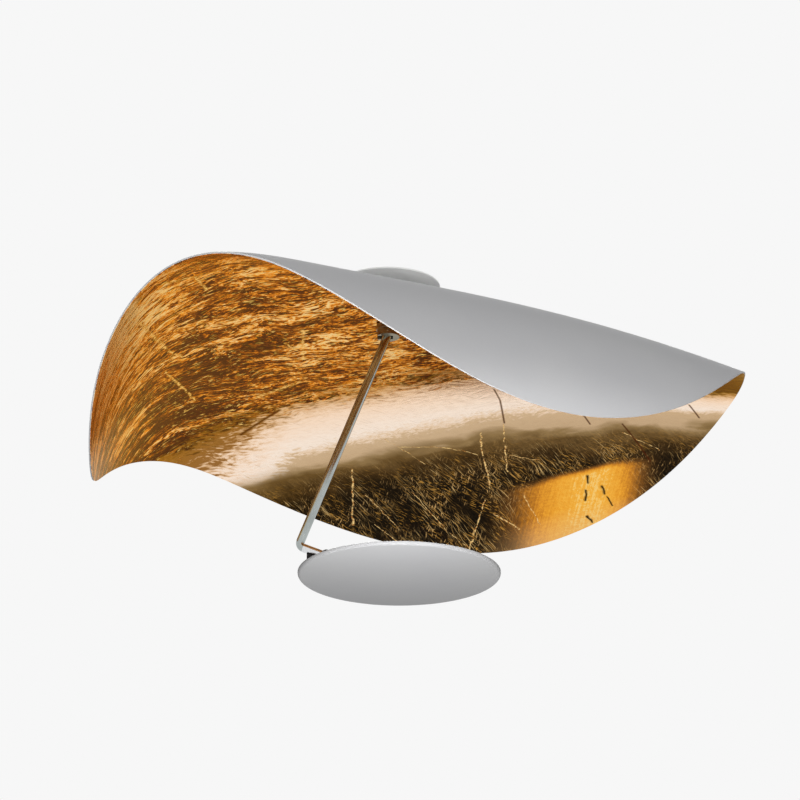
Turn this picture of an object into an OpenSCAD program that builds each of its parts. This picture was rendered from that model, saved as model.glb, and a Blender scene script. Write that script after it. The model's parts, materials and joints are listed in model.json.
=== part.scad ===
// Leaf-shaped ceiling light: a round sheet rolled down into three drooping lobes,
// a small round rose, and a lit disc on a leaning rod under it.
// The origin is the middle of the ceiling face, +Z is up, and sizes are in millimetres.
// The shade is a flat round blank, rolled down past three straight folds, and eased down past a fourth.

/* [Ceiling rose] */
// Diameter of the rose cover
rose_d = 86; // [80:1:110]
// Height of the rose cover below the ceiling
rose_h = 5; // [4.6:0.1:8]
// Height of the rose cover's rim, where its domed face begins
rose_edge = 1.2; // [0.8:0.1:2]
// Thickness of the ceiling strap inside the rose cover
strap_t = 2; // [1.5:0.1:2.6]
// Width of the ceiling strap
strap_w = 18; // [16:1:22]
// Distance between the middles of the two screw slots
slot_spacing = 50; // [40:1:54]
// Width of a screw slot
slot_w = 4.5; // [3.5:0.1:6]
// End-to-end length of a screw slot
slot_len = 9; // [7:0.5:10]

/* [Stem] */
// Outer diameter of the hollow stem
stem_d = 10; // [8:0.5:11]
// Bore of the hollow stem
stem_bore_d = 5.2; // [5:0.1:6]
// Width across the flats of the nut under the rose
nut_af = 17; // [15:0.5:17.5]
// Height of the nut under the rose
nut_h = 3.5; // [2.5:0.5:6]
// Outer diameter of the spacer sleeve
sleeve_d = 24; // [23:1:30]
// Wall of the spacer sleeve
sleeve_wall = 1.5; // [1:0.1:1.6]
// Thickness of the bottom of the spacer sleeve
sleeve_floor = 2.5; // [1.5:0.5:5]
// Diameter of the steel washer over the shade
washer_d = 36; // [30:1:44]
// Thickness of the steel washer over the shade
washer_t = 1.5; // [1:0.1:2.5]
// Thickness of each felt washer
felt_t = 0.5; // [0.4:0.1:1.5]

/* [Shade] */
// Distance from the ceiling to the top of the shade at the stem
shade_drop = 31.5; // [28:0.5:60]
// Diameter of the flat round blank
blank_d = 600; // [560:5:660]
// Distance of the blank's middle behind the stem
blank_back = 68; // [40:1:80]
// Thickness of the painted sheet
sheet_t = 1.2; // [0.8:0.1:2.5]
// Thickness of the gold-leaf lining with its size and lacquer
leaf_t = 0.3; // [0.2:0.05:0.5]
// Direction in which the left lobe droops
left_angle = 189; // [180:1:200]
// Distance of the left fold from the stem
left_fold = 80; // [60:1:110]
// Slope of the left lobe one blank radius past its fold
left_roll_angle = 100; // [70:1:110]
// Share by which the left lobe rolls more toward its far end
left_twist = -0.27; // [-0.4:0.01:0]
// Direction in which the front lobe droops
front_angle = 292; // [280:1:300]
// Distance of the front fold from the stem
front_fold = 26; // [22:1:50]
// Slope of the front lobe one blank radius past its fold
front_roll_angle = 112; // [80:1:120]
// Share by which the front lobe rolls more toward its right end
front_twist = 0.5; // [0.2:0.01:0.6]
// Direction in which the back lobe droops
back_angle = 80; // [70:1:90]
// Distance of the back fold from the stem
back_fold = 112; // [90:1:140]
// Slope of the back lobe one blank radius past its fold
back_roll_angle = 51; // [30:1:70]
// Share by which the back lobe rolls more toward its right end
back_twist = -0.76; // [-0.8:0.01:0]
// Direction in which the right tip is eased down
tip_angle = 342; // [335:1:355]
// Distance of the right tip's fold from the stem
tip_fold = 24; // [22:1:60]
// Slope of the right tip one blank radius past its fold
tip_roll_angle = 15; // [5:1:25]
// Number of sectors round the stem
sectors = 72; // [48:1:90]
// Number of rings from the stem hole to the rim
rings = 14; // [10:1:16]

/* [Hub] */
// Outer diameter of the hub
hub_d = 19; // [18.6:0.2:24]
// Wall of the hub
hub_wall = 1.5; // [1:0.1:1.6]
// Height of the round nut that clamps the shade
shade_nut_h = 2; // [1.5:0.1:4]
// Outer diameter of the round nut that clamps the shade
shade_nut_d = 15; // [13:0.5:15.4]
// Thickness of the nylon washer that the hub turns under
thrust_t = 0.3; // [0.2:0.1:1]
// Thickness of the web that hangs on the lock ring
web_t = 1.2; // [1:0.1:2.5]
// Height of the lock ring at the end of the stem
lock_h = 0.75; // [0.6:0.05:2]
// Outer diameter of the lock ring
lock_d = 13.2; // [12:0.2:13.6]
// Diameter of the two pivot pins
pivot_d = 2; // [1.6:0.1:2.6]
// Metal left under the pivot pins
fork_foot = 1.6; // [1:0.1:4]

/* [Rod and arm] */
// Outer diameter of the rod and the arm
rod_d = 7; // [6.6:0.1:7.4]
// Bore of the rod and the arm
rod_bore_d = 5; // [4.8:0.1:5.4]
// Length of the rod from its pivot to the middle line of the arm
rod_len = 196; // [150:1:260]
// Lean of the rod away from plumb
rod_lean = 21.3; // [19:0.1:25]
// How far the rod reaches above its pivot
rod_head = 1.6; // [1.4:0.1:2]
// Radius of the elbow's middle line
elbow_r = 4; // [3.8:0.1:6]
// Length of the arm from the rod's middle line to the tilt screw
arm_len = 24; // [23:0.5:34]
// How far the arm reaches past the tilt screw
arm_end = 3.5; // [2.5:0.1:4.5]
// Diameter of the tilt screw
tilt_d = 3; // [2:0.1:3.4]
// Diameter of the cable inside the stem, rod and arm
cable_d = 4.4; // [4:0.1:4.6]

/* [Lamp disc] */
// Diameter of the lamp disc
disc_d = 162; // [154:1:200]
// Height of the dish's rim
dish_rim_h = 2.9; // [2.8:0.1:4]
// Thickness of the dish's floor
dish_floor = 1.5; // [1.3:0.1:1.5]
// Thickness of the dish's rim
dish_wall = 1.8; // [1:0.1:3]
// Radius of the round lower edge of the dish
dish_round = 2.4; // [0.4:0.1:2.8]
// Height of the frame's top above the disc's underside
frame_top = 4.6; // [4.6:0.1:6.2]
// Thickness of the frame's sheet
frame_t = 1; // [0.8:0.1:1]
// Wall of the opal diffuser
opal_t = 1.6; // [1.2:0.1:2]
// Height of the diffuser's top above the disc's underside
opal_top = 8.8; // [8:0.1:14]
// Width of the retaining ring
ring_w = 6.3; // [5.6:0.1:6.6]
// Height of the retaining ring above the frame
ring_h = 2; // [1.6:0.1:3]
// Thickness of the led board
board_t = 1.6; // [1:0.1:1.8]
// Side of one led
led_w = 2.8; // [2:0.1:3.5]
// Height of one led
led_h = 0.7; // [0.5:0.1:1]
// Number of leds in the inner ring
leds_inner = 12; // [6:1:16]
// Number of leds in the outer ring
leds_outer = 24; // [12:1:32]
// Distance from the disc's rim in to the tilt screw
pin_from_rim = 22.9; // [21.4:0.1:25]
// Distance from the tilt screw to the inner end of the bracket's foot
foot_front = 5.9; // [5.2:0.1:7]
// Height of the tilt screw above the frame
pin_rise = 12; // [8.6:0.1:14]
// Thickness of each ear of the tilt bracket
ear_t = 2; // [1.6:0.1:3]
// Thickness of the tilt bracket's foot
foot_t = 2; // [1.4:0.1:2.2]
// Diameter of the lead into the disc
lead_d = 1.9; // [1.4:0.1:1.9]

/* [Hidden] */
$fn = 96;
small_fn = 32;

// Clearances
thread_gap = 0.05;
run_gap = 0.05;
slip_gap = 0.1;
free_gap = 0.3;

// Ceiling parts
rose_r = rose_d / 2;
rose_flat_r = sleeve_d / 2 + 3;
collar_r = stem_d / 2 + 2;
slot_edge = 4.5;
strap_len = slot_spacing + slot_len + 2 * slot_edge;
recess_r = norm([strap_len, strap_w]) / 2 + 0.5;

// Stack of levels down the stem, each the top of the piece that it names
z_nut = -rose_h;
z_sleeve_bottom = -shade_drop + felt_t + washer_t;
z_washer = z_sleeve_bottom;
z_felt = z_washer - washer_t;
z_shade = -shade_drop;
z_leaf = z_shade - sheet_t;
z_low_felt = z_leaf - leaf_t;
z_shade_nut = z_low_felt - felt_t;
z_thrust = z_shade_nut - shade_nut_h;
z_web = z_thrust - thrust_t;
z_lock = z_web - web_t - run_gap;
z_stem_end = z_lock - lock_h;
z_split = z_stem_end - 0.7;
rod_r = rod_d / 2;
head_corner = sqrt(rod_head * rod_head + rod_r * rod_r);
z_pivot = z_stem_end - head_corner - 0.25;
z_hub_bottom = z_pivot - pivot_d / 2 - fork_foot;
felt_d = 17.2;
felt_hole_d = stem_d + 0.4;
spigot_h = 1.3;
skirt_top = z_shade_nut - free_gap;

// Lamp disc, in its own frame: origin at the middle of its underside
pin_z = frame_top + pin_rise;
disc_r = disc_d / 2;
pin_reach = disc_r - pin_from_rim;
disc_x = -rod_len * sin(rod_lean) + arm_len * cos(rod_lean) + pin_reach;
disc_z = z_pivot - rod_len * cos(rod_lean) - arm_len * sin(rod_lean) - pin_z;
frame_r = disc_r - dish_wall - slip_gap;
foot_gap = 0.7;
ring_gap = 0.2;
window_r = pin_reach - foot_front - foot_gap - ring_w - ring_gap;
board_r = window_r - 2.5;
opal_r = window_r - 0.5;
lip_w = 2.3;
lip_t = 0.8;
ring_in = window_r + ring_gap;
ring_out = ring_in + ring_w;
inner_leds_r = 0.4 * window_r;
board_screw_r = window_r - 19;
outer_leds_r = window_r - 11;
ring_screw_r = (ring_in + lip_w + ring_out) / 2 - 0.2;
lug_w = 5;
lug_len = 5;
lug_from_pin = 15.7;
foot_back = lug_from_pin + 0.8;
foot_w = 16;
flat_r = norm([pin_reach + foot_back, foot_w / 2]) + 0.2;
frame_screw_r = flat_r - 2;
screw_from_pin = 12;
tail_from_pin = 2.1;
lead_from_pin = 6.7;
boss_r = 2.4;
lead_x = -pin_reach - lead_from_pin;
lead_z = dish_floor + lead_d / 2 + 0.1;
lead_bend_r = frame_top - frame_t - lead_z;
lead_turn = asin((boss_r + lead_d / 2 + free_gap) / (lead_from_pin + tail_from_pin));
under_arm = rod_r / cos(rod_lean);

// A round tube hanging down from a level
module tube(top, h, outer_r, inner_r) {
    translate([0, 0, top - h])
        difference() {
            cylinder(r = outer_r, h = h);
            translate([0, 0, -1])
                cylinder(r = inner_r, h = h + 2);
        }
}

// Copies round the vertical axis
module around(count, radius, first = 0) {
    for (i = [0:count - 1])
        rotate([0, 0, first + i * 360 / count])
            translate([radius, 0, 0])
                children();
}

// The rod's frame: origin at the pivot, the rod along -Z, the arm along +X
module on_rod() {
    translate([0, 0, z_pivot])
        rotate([0, rod_lean, 0])
            children();
}

// The disc's frame
module on_disc() {
    translate([disc_x, 0, disc_z])
        children();
}

// A cylinder along Y, centred on the origin
module cross_cylinder(r, len) {
    rotate([90, 0, 0])
        cylinder(r = r, h = len, center = true, $fn = small_fn);
}

// A small pan-head screw whose head rests on z = 0
module pan_screw(head_r, head_h, shank_r, shank_len) {
    cylinder(r = head_r, h = head_h, $fn = small_fn);
    translate([0, 0, -shank_len])
        cylinder(r = shank_r, h = shank_len, $fn = small_fn);
}

// Ceiling strap: a flat bar with two slots and a tapped collar for the stem
module slot_hole() {
    for (s = [-1, 1])
        translate([s * (slot_len - slot_w) / 2, 0, -strap_t - 1])
            cylinder(r = slot_w / 2, h = strap_t + 2, $fn = small_fn);
    translate([-(slot_len - slot_w) / 2, -slot_w / 2, -strap_t - 1])
        cube([slot_len - slot_w, slot_w, strap_t + 2]);
}

module ceiling_strap() {
    color("silver")
        difference() {
            union() {
                translate([-strap_len / 2, -strap_w / 2, -strap_t])
                    cube([strap_len, strap_w, strap_t]);
                translate([0, 0, -rose_h])
                    cylinder(r = collar_r, h = rose_h - strap_t);
            }
            for (s = [-1, 1])
                translate([s * slot_spacing / 2, 0, 0])
                    slot_hole();
            translate([0, 0, -rose_h - 1])
                cylinder(r = stem_d / 2 + thread_gap, h = rose_h + 2);
        }
}

// Level of the rose's domed face at distance r from the stem's axis
function rose_face(r) =
    let (share = (r - rose_flat_r) / (rose_r - rose_flat_r))
    (rose_h - rose_edge) * pow(share, 4) - rose_h;

// Rose cover: a shallow domed cap, recessed above for the strap
module rose_cover() {
    dome_steps = 12;
    dome = [for (i = [0:dome_steps])
        let (r = rose_flat_r + (rose_r - rose_flat_r) * i / dome_steps) [r, rose_face(r)]];
    color([0.78, 0.78, 0.77])
        rotate_extrude()
            polygon(concat(
                [[collar_r + slip_gap, -rose_h]],
                dome,
                [[rose_r, 0], [recess_r, 0], [recess_r, -strap_t], [collar_r + slip_gap, -strap_t]]
            ));
}

// Hexagon nut that holds the rose cover up against the strap
module rose_nut() {
    color("silver")
        translate([0, 0, z_nut - nut_h])
            difference() {
                cylinder(r = nut_af / 2 / cos(30), h = nut_h, $fn = 6);
                translate([0, 0, -1])
                    cylinder(r = stem_d / 2 + thread_gap, h = nut_h + 2);
            }
}

// Hollow threaded stem
module stem() {
    color("gainsboro")
        tube(0, -z_stem_end, stem_d / 2, stem_bore_d / 2);
}

// Spacer sleeve between the rose and the shade, closed below
module spacer_sleeve() {
    color([0.78, 0.78, 0.77]) {
        tube(z_nut, z_nut - z_sleeve_bottom - sleeve_floor, sleeve_d / 2, sleeve_d / 2 - sleeve_wall);
        tube(z_sleeve_bottom + sleeve_floor, sleeve_floor, sleeve_d / 2, stem_d / 2 + slip_gap);
    }
}

// Steel washer that spreads the clamping load over the thin shade
module shade_washer() {
    color([0.7, 0.7, 0.69])
        tube(z_washer, washer_t, washer_d / 2, stem_d / 2 + slip_gap);
}

// Felt washers, one on each face of the shade
module felt_washers() {
    color("dimgray") {
        tube(z_felt, felt_t, felt_d / 2, felt_hole_d / 2);
        tube(z_low_felt, felt_t, felt_d / 2, felt_hole_d / 2);
    }
}

// Each lobe: direction, fold distance, end slope, twist
lobes = [
    [left_angle, left_fold, left_roll_angle, left_twist],
    [front_angle, front_fold, front_roll_angle, front_twist],
    [back_angle, back_fold, back_roll_angle, back_twist],
    [tip_angle, tip_fold, tip_roll_angle, 0]
];
blank_r = blank_d / 2;
roll_steps = 12;
ones = [for (i = [1:roll_steps]) 1];
stem_hole_r = stem_d / 2 + 0.3;
feel = 0.5;

// Slope share at arc length s past a fold
function ease(s) = let (c = min(s / blank_r, 1)) c * c * (3 - 2 * c);

// Slopes at the middles of equal steps along arc length d
function slopes(d, a) = [for (i = [0:roll_steps - 1]) a * ease((i + 0.5) * d / roll_steps)];

// Horizontal run lost and height lost by a lobe at flat point p
function lobe_shift(p, lobe) =
    let (
        n = [cos(lobe[0]), sin(lobe[0])],
        d = max(p * n - lobe[1], 0),
        along = p * [-n.y, n.x],
        s = slopes(d, lobe[2] * (1 + lobe[3] * along / blank_r)),
        run = [for (a = s) cos(a)] * ones * d / roll_steps,
        fall = [for (a = s) sin(a)] * ones * d / roll_steps
    ) [(run - d) * n.x, (run - d) * n.y, -fall];

// Place in the finished shade of flat point p, measured from the stem
function shade_point(p) =
    [p.x, p.y, z_shade] + lobe_shift(p, lobes[0]) + lobe_shift(p, lobes[1])
    + lobe_shift(p, lobes[2]) + lobe_shift(p, lobes[3]);

// Upward unit normal of the shade there
function shade_normal(p) =
    let (v = cross(
        shade_point(p + [feel, 0]) - shade_point(p - [feel, 0]),
        shade_point(p + [0, feel]) - shade_point(p - [0, feel])
    )) v / norm(v);

// Distance from the stem to the blank's rim in direction a
function rim_distance(a) =
    let (c = blank_back * sin(a)) c + sqrt(c * c - blank_back * blank_back + blank_r * blank_r);

// Flat point on ring k and sector j
function flat_point(k, j) =
    let (
        a = j * 360 / sectors,
        r = stem_hole_r + (rim_distance(a) - stem_hole_r) * k / rings
    ) [r * cos(a), r * sin(a)];

function grid_points(depth) = [
    for (k = [0:rings], j = [0:sectors - 1])
        let (p = flat_point(k, j))
        shade_point(p) - depth * shade_normal(p)
];

function at(k, j, layer) = layer * (rings + 1) * sectors + k * sectors + j % sectors;

// A closed layer of the shade between two depths under its top face
module shade_layer(top_depth, bottom_depth) {
    points = concat(grid_points(top_depth), grid_points(bottom_depth));
    top_faces = [for (k = [0:rings - 1], j = [0:sectors - 1], half = [0, 1])
        half == 0 ? [at(k, j, 0), at(k + 1, j + 1, 0), at(k + 1, j, 0)]
        : [at(k, j, 0), at(k, j + 1, 0), at(k + 1, j + 1, 0)]];
    bottom_faces = [for (k = [0:rings - 1], j = [0:sectors - 1], half = [0, 1])
        half == 0 ? [at(k, j, 1), at(k + 1, j, 1), at(k + 1, j + 1, 1)]
        : [at(k, j, 1), at(k + 1, j + 1, 1), at(k, j + 1, 1)]];
    rim_faces = [for (j = [0:sectors - 1], half = [0, 1])
        half == 0 ? [at(rings, j, 0), at(rings, j + 1, 0), at(rings, j, 1)]
        : [at(rings, j + 1, 0), at(rings, j + 1, 1), at(rings, j, 1)]];
    hole_faces = [for (j = [0:sectors - 1], half = [0, 1])
        half == 0 ? [at(0, j, 0), at(0, j, 1), at(0, j + 1, 0)]
        : [at(0, j + 1, 0), at(0, j, 1), at(0, j + 1, 1)]];
    polyhedron(points, concat(top_faces, bottom_faces, rim_faces, hole_faces));
}

// Painted aluminium sheet of the shade
module shade_sheet() {
    color([0.72, 0.72, 0.72])
        shade_layer(0, sheet_t);
}

// Gold leaf on the underside of the shade
module leaf_lining() {
    color([0.78, 0.55, 0.22])
        shade_layer(sheet_t, sheet_t + leaf_t);
}

// Round nut that clamps the shade on the stem, hidden in the hub
module shade_nut() {
    color("silver")
        tube(z_shade_nut, shade_nut_h, shade_nut_d / 2, stem_d / 2 + thread_gap);
}

// Nylon washer between the round nut and the turning hub
module thrust_washer() {
    color("ivory")
        tube(z_thrust, thrust_t, shade_nut_d / 2, stem_d / 2 + run_gap);
}

// Lock ring at the end of the stem, which carries the hub
module lock_ring() {
    color("silver")
        tube(z_lock, lock_h, lock_d / 2, stem_d / 2 + thread_gap);
}

// Cable down the stem, ending where the rod's head swings
module stem_cable() {
    color("white")
        translate([0, 0, z_stem_end])
            cylinder(r = cable_d / 2, h = -z_stem_end - free_gap);
}

// Upper half of the hub: a skirt over the nut, and a web that turns on the stem
module hub_cup() {
    color([0.75, 0.74, 0.7])
        rotate_extrude()
            polygon([
                [hub_d / 2 - hub_wall, skirt_top],
                [hub_d / 2, skirt_top],
                [hub_d / 2, z_split],
                [hub_d / 2 - hub_wall, z_split],
                [hub_d / 2 - hub_wall, z_web - web_t],
                [stem_d / 2 + run_gap, z_web - web_t],
                [stem_d / 2 + run_gap, z_web],
                [hub_d / 2 - hub_wall, z_web]
            ]);
}

// Lower half of the hub: a slotted fork that screws into the cup and holds the rod
module hub_fork() {
    slot_half = rod_r + 0.15;
    spigot_r = hub_d / 2 - hub_wall - thread_gap;
    pocket_r = lock_d / 2 + free_gap;
    color([0.75, 0.74, 0.7])
        difference() {
            rotate_extrude()
                polygon([
                    [0, z_hub_bottom],
                    [hub_d / 2, z_hub_bottom],
                    [hub_d / 2, z_split],
                    [spigot_r, z_split],
                    [spigot_r, z_split + spigot_h],
                    [pocket_r, z_split + spigot_h],
                    [pocket_r, z_split],
                    [0, z_split]
                ]);
            translate([-hub_d, -slot_half, z_hub_bottom - 1])
                cube([hub_d + head_corner + 0.25, 2 * slot_half, z_split - z_hub_bottom + 1.05]);
            translate([0, 0, z_pivot])
                cross_cylinder(pivot_d / 2, hub_d + 2);
        }
}

// Two pivot pins, one in each cheek of the fork, which leave the middle free for the cable
module pivot_pins() {
    pin_in = rod_bore_d / 2 + 0.1;
    pin_out = hub_d / 2 - 0.5;
    color("silver")
        for (s = [-1, 1])
            translate([0, s * (pin_in + pin_out) / 2, z_pivot])
                cross_cylinder(pivot_d / 2, pin_out - pin_in);
}

// Rod from the hub down to the elbow
module rod_tube() {
    color([0.62, 0.56, 0.42])
        on_rod()
            difference() {
                translate([0, 0, elbow_r - rod_len])
                    cylinder(r = rod_r, h = rod_len - elbow_r + rod_head);
                translate([0, 0, elbow_r - rod_len - 1])
                    cylinder(r = rod_bore_d / 2, h = rod_len + 4);
                cross_cylinder(pivot_d / 2 + run_gap, rod_d + 2);
            }
}

// Quarter bend of round section, from the rod to the arm
module quarter_bend(outer_r, inner_r) {
    translate([elbow_r, 0, elbow_r - rod_len])
        rotate([90, 0, 0])
            rotate([0, 0, 180])
                rotate_extrude(angle = 90)
                    translate([elbow_r, 0])
                        difference() {
                            circle(r = outer_r);
                            if (inner_r > 0)
                                circle(r = inner_r);
                        }
}

module elbow() {
    color("dimgray")
        on_rod()
            quarter_bend(rod_r - 0.25, rod_bore_d / 2);
}

// Short polished arm, square to the rod
module arm_tube() {
    color("lightsteelblue")
        on_rod()
            translate([0, 0, -rod_len])
                difference() {
                    translate([elbow_r, 0, 0])
                        rotate([0, 90, 0])
                            cylinder(r = rod_r, h = arm_len + arm_end - elbow_r);
                    translate([elbow_r - 1, 0, 0])
                        rotate([0, 90, 0])
                            cylinder(r = rod_bore_d / 2, h = arm_len + arm_end);
                    translate([arm_len, 0, 0])
                        cross_cylinder(tilt_d / 2 + run_gap, rod_d + 2);
                    translate([arm_len - lead_from_pin, 0, -rod_d])
                        cylinder(r = lead_d, h = rod_d, $fn = small_fn);
                }
}

// Solid end plug of the arm, drilled for the tilt screw
module arm_plug() {
    plug_len = arm_end + tilt_d / 2 + 1.4;
    color("gray")
        on_rod()
            translate([arm_len, 0, -rod_len])
                difference() {
                    translate([arm_end - plug_len, 0, 0])
                        rotate([0, 90, 0])
                            cylinder(r = rod_bore_d / 2 - thread_gap, h = plug_len);
                    cross_cylinder(tilt_d / 2 + run_gap, rod_d + 2);
                }
}

// Cable through the rod, the elbow and the arm, with a round end at the pivot
module rod_cable() {
    cable_r = cable_d / 2;
    cable_stop = arm_len - tilt_d / 2 - 1.4 - free_gap;
    color("white")
        on_rod() {
            sphere(r = cable_r);
            translate([0, 0, elbow_r - rod_len])
                cylinder(r = cable_r, h = rod_len - elbow_r);
            quarter_bend(cable_r, 0);
            translate([elbow_r, 0, -rod_len])
                rotate([0, 90, 0])
                    cylinder(r = cable_r, h = cable_stop - elbow_r);
        }
}

// Tilt bracket: foot, two ears for the tilt screw, and a lug that rests under the arm
module tilt_bracket() {
    ear_in = rod_r + free_gap;
    ear_r = tilt_d / 2 + 2.6;
    lug_right = -lug_from_pin + lug_len;
    lug_clear = under_arm + free_gap / 2;
    color([0.16, 0.15, 0.15])
        on_disc()
            translate([-pin_reach, 0, 0])
                difference() {
                    union() {
                        translate([-foot_back, -foot_w / 2, frame_top])
                            cube([foot_back + foot_front, foot_w, foot_t]);
                        for (s = [0, 1])
                            mirror([0, s, 0]) {
                                translate([0, ear_in + ear_t / 2, pin_z])
                                    cross_cylinder(ear_r, ear_t);
                                translate([-ear_r, ear_in, frame_top])
                                    cube([2 * ear_r, ear_t, pin_rise]);
                            }
                        rotate([90, 0, 0])
                            linear_extrude(height = lug_w, center = true)
                                polygon([
                                    [-lug_from_pin, frame_top],
                                    [lug_right, frame_top],
                                    [lug_right, pin_z - lug_clear - lug_right * tan(rod_lean)],
                                    [-lug_from_pin, pin_z - lug_clear + lug_from_pin * tan(rod_lean)]
                                ]);
                    }
                    translate([0, 0, pin_z])
                        cross_cylinder(tilt_d / 2, foot_w + 2);
                    translate([-lead_from_pin, 0, frame_top - 1])
                        cylinder(r = lead_d / 2 + 1.1, h = foot_t + 2, $fn = small_fn);
                    bracket_screw_spots()
                        translate([0, 0, frame_top - 1])
                            cylinder(r = 1.25, h = foot_t + 2, $fn = small_fn);
                }
}

// Places of the bracket's three screws, measured from the tilt screw
module bracket_screw_spots() {
    for (s = [-1, 1])
        translate([-screw_from_pin, s * 5.2, 0])
            children();
    translate([tail_from_pin, 0, 0])
        children();
}

// Tilt screw through both ears and the arm
module tilt_screw() {
    ear_out = rod_r + free_gap + ear_t;
    color("silver")
        on_disc()
            translate([-pin_reach, 0, pin_z])
                rotate([90, 0, 0]) {
                    translate([0, 0, -ear_out])
                        cylinder(r = tilt_d / 2, h = 2 * ear_out, $fn = small_fn);
                    translate([0, 0, ear_out])
                        cylinder(r = tilt_d / 2 + 1.2, h = 1.6, $fn = small_fn);
                }
}

// Screws of the tilt bracket, which reach into the dish's bosses
module bracket_screws() {
    color("silver")
        on_disc()
            translate([-pin_reach, 0, frame_top + foot_t])
                bracket_screw_spots()
                    pan_screw(2.2, 1.2, 1.2, frame_top + foot_t - 1.2);
}

// Dish of the lamp disc, with bosses for the screws from above
module disc_dish() {
    boss_h = frame_top - frame_t - dish_floor;
    round_edge = [for (a = [0:15:90])
        [disc_r, dish_round] + dish_round * [sin(a) - 1, -cos(a)]];
    color([0.68, 0.68, 0.68])
        on_disc()
            difference() {
                union() {
                    rotate_extrude()
                        polygon(concat(
                            [[0, 0]],
                            round_edge,
                            [[disc_r, dish_rim_h], [disc_r - dish_wall, dish_rim_h]],
                            [[disc_r - dish_wall, dish_floor], [0, dish_floor]]
                        ));
                    around(6, frame_screw_r, 30)
                        translate([0, 0, dish_floor])
                            cylinder(r = 2, h = boss_h, $fn = small_fn);
                    translate([-pin_reach, 0, dish_floor])
                        bracket_screw_spots()
                            cylinder(r = boss_r, h = boss_h, $fn = small_fn);
                }
                around(6, frame_screw_r, 30)
                    translate([0, 0, 1])
                        cylinder(r = 0.9, h = frame_top, $fn = small_fn);
                translate([-pin_reach, 0, 1])
                    bracket_screw_spots()
                        cylinder(r = 1.25, h = frame_top, $fn = small_fn);
                around(3, board_screw_r, 60)
                    translate([0, 0, 0.8])
                        cylinder(r = 1.05, h = dish_floor, $fn = small_fn);
            }
}

// Ring-shaped cover over the dish, with the opening for the diffuser
module disc_frame() {
    color([0.68, 0.68, 0.68])
        on_disc()
            difference() {
                rotate_extrude()
                    polygon([
                        [window_r, frame_top],
                        [flat_r, frame_top],
                        [frame_r, dish_rim_h],
                        [frame_r, dish_floor],
                        [frame_r - frame_t, dish_floor],
                        [frame_r - frame_t, dish_rim_h - frame_t / 2],
                        [flat_r - frame_t / 5, frame_top - frame_t],
                        [window_r, frame_top - frame_t]
                    ]);
                around(6, frame_screw_r, 30)
                    cylinder(r = 0.9, h = frame_top + 1, $fn = small_fn);
                translate([-pin_reach, 0, 0])
                    bracket_screw_spots()
                        cylinder(r = 1.25, h = frame_top + 1, $fn = small_fn);
                translate([lead_x, 0, 0])
                    cylinder(r = lead_d / 2 + 0.6, h = frame_top + 1, $fn = small_fn);
                around(4, ring_screw_r, 45)
                    cylinder(r = 0.75, h = frame_top + 1, $fn = small_fn);
            }
}

// Six screws that hold the ring-shaped cover down
module frame_screws() {
    color("silver")
        on_disc()
            around(6, frame_screw_r, 30)
                translate([0, 0, frame_top])
                    pan_screw(1.7, 0.9, 0.85, frame_top - 1.2);
}

// Aluminium-core board
module led_board() {
    color("white")
        on_disc()
            difference() {
                translate([0, 0, dish_floor])
                    cylinder(r = board_r, h = board_t);
                around(3, board_screw_r, 60)
                    cylinder(r = 1.2, h = dish_floor + board_t + 1, $fn = small_fn);
            }
}

// Two rings of leds on the board
module led_ring(count, radius) {
    around(count, radius)
        translate([-led_w / 2, -led_w / 2, dish_floor + board_t])
            cube([led_w, led_w, led_h]);
}

module leds() {
    color("gold")
        on_disc() {
            led_ring(leds_inner, inner_leds_r);
            led_ring(leds_outer, outer_leds_r);
        }
}

// Three screws of the board
module board_screws() {
    color("silver")
        on_disc()
            around(3, board_screw_r, 60)
                translate([0, 0, dish_floor + board_t])
                    pan_screw(2, 0.8, 1, dish_floor + board_t - 1);
}

// Distance along the lead from its drop to a circle round the disc's middle
function lead_reach(r) =
    let (side = lead_x * sin(lead_turn)) -lead_x * cos(lead_turn) - sqrt(r * r - side * side);

// The lead's frame: origin below its drop, and +X along the turned lead
module on_lead() {
    translate([lead_x, 0, 0])
        rotate([0, 0, lead_turn])
            children();
}

// Plug-in connector at the edge of the board, where the lead meets it
module board_connector() {
    meet_r = board_r + free_gap;
    meet_turn = asin(lead_reach(meet_r) * sin(lead_turn) / meet_r);
    color("ivory")
        on_disc()
            rotate([0, 0, -meet_turn])
                translate([0.4 - board_r, -2.5, dish_floor + board_t])
                    cube([4.5, 5, 1.6]);
}

// Opal diffuser: a shallow drum with a lip under the retaining ring
module diffuser() {
    lead_notch = 2.5;
    color([0.97, 0.96, 0.92])
        on_disc()
            difference() {
                rotate_extrude()
                    polygon([
                        [0, opal_top],
                        [opal_r - opal_t, opal_top],
                        [opal_r, opal_top - opal_t],
                        [opal_r, frame_top + lip_t],
                        [opal_r + lip_w, frame_top + lip_t],
                        [opal_r + lip_w, frame_top],
                        [opal_r, frame_top],
                        [opal_r, dish_floor],
                        [opal_r - opal_t, dish_floor],
                        [opal_r - opal_t, opal_top - opal_t],
                        [0, opal_top - opal_t]
                    ]);
                on_lead()
                    translate([lead_reach(opal_r) - lead_notch, -lead_d, dish_floor - 1])
                        cube([opal_t + 2 * lead_notch, 2 * lead_d, lead_d + 1.4]);
            }
}

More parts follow.
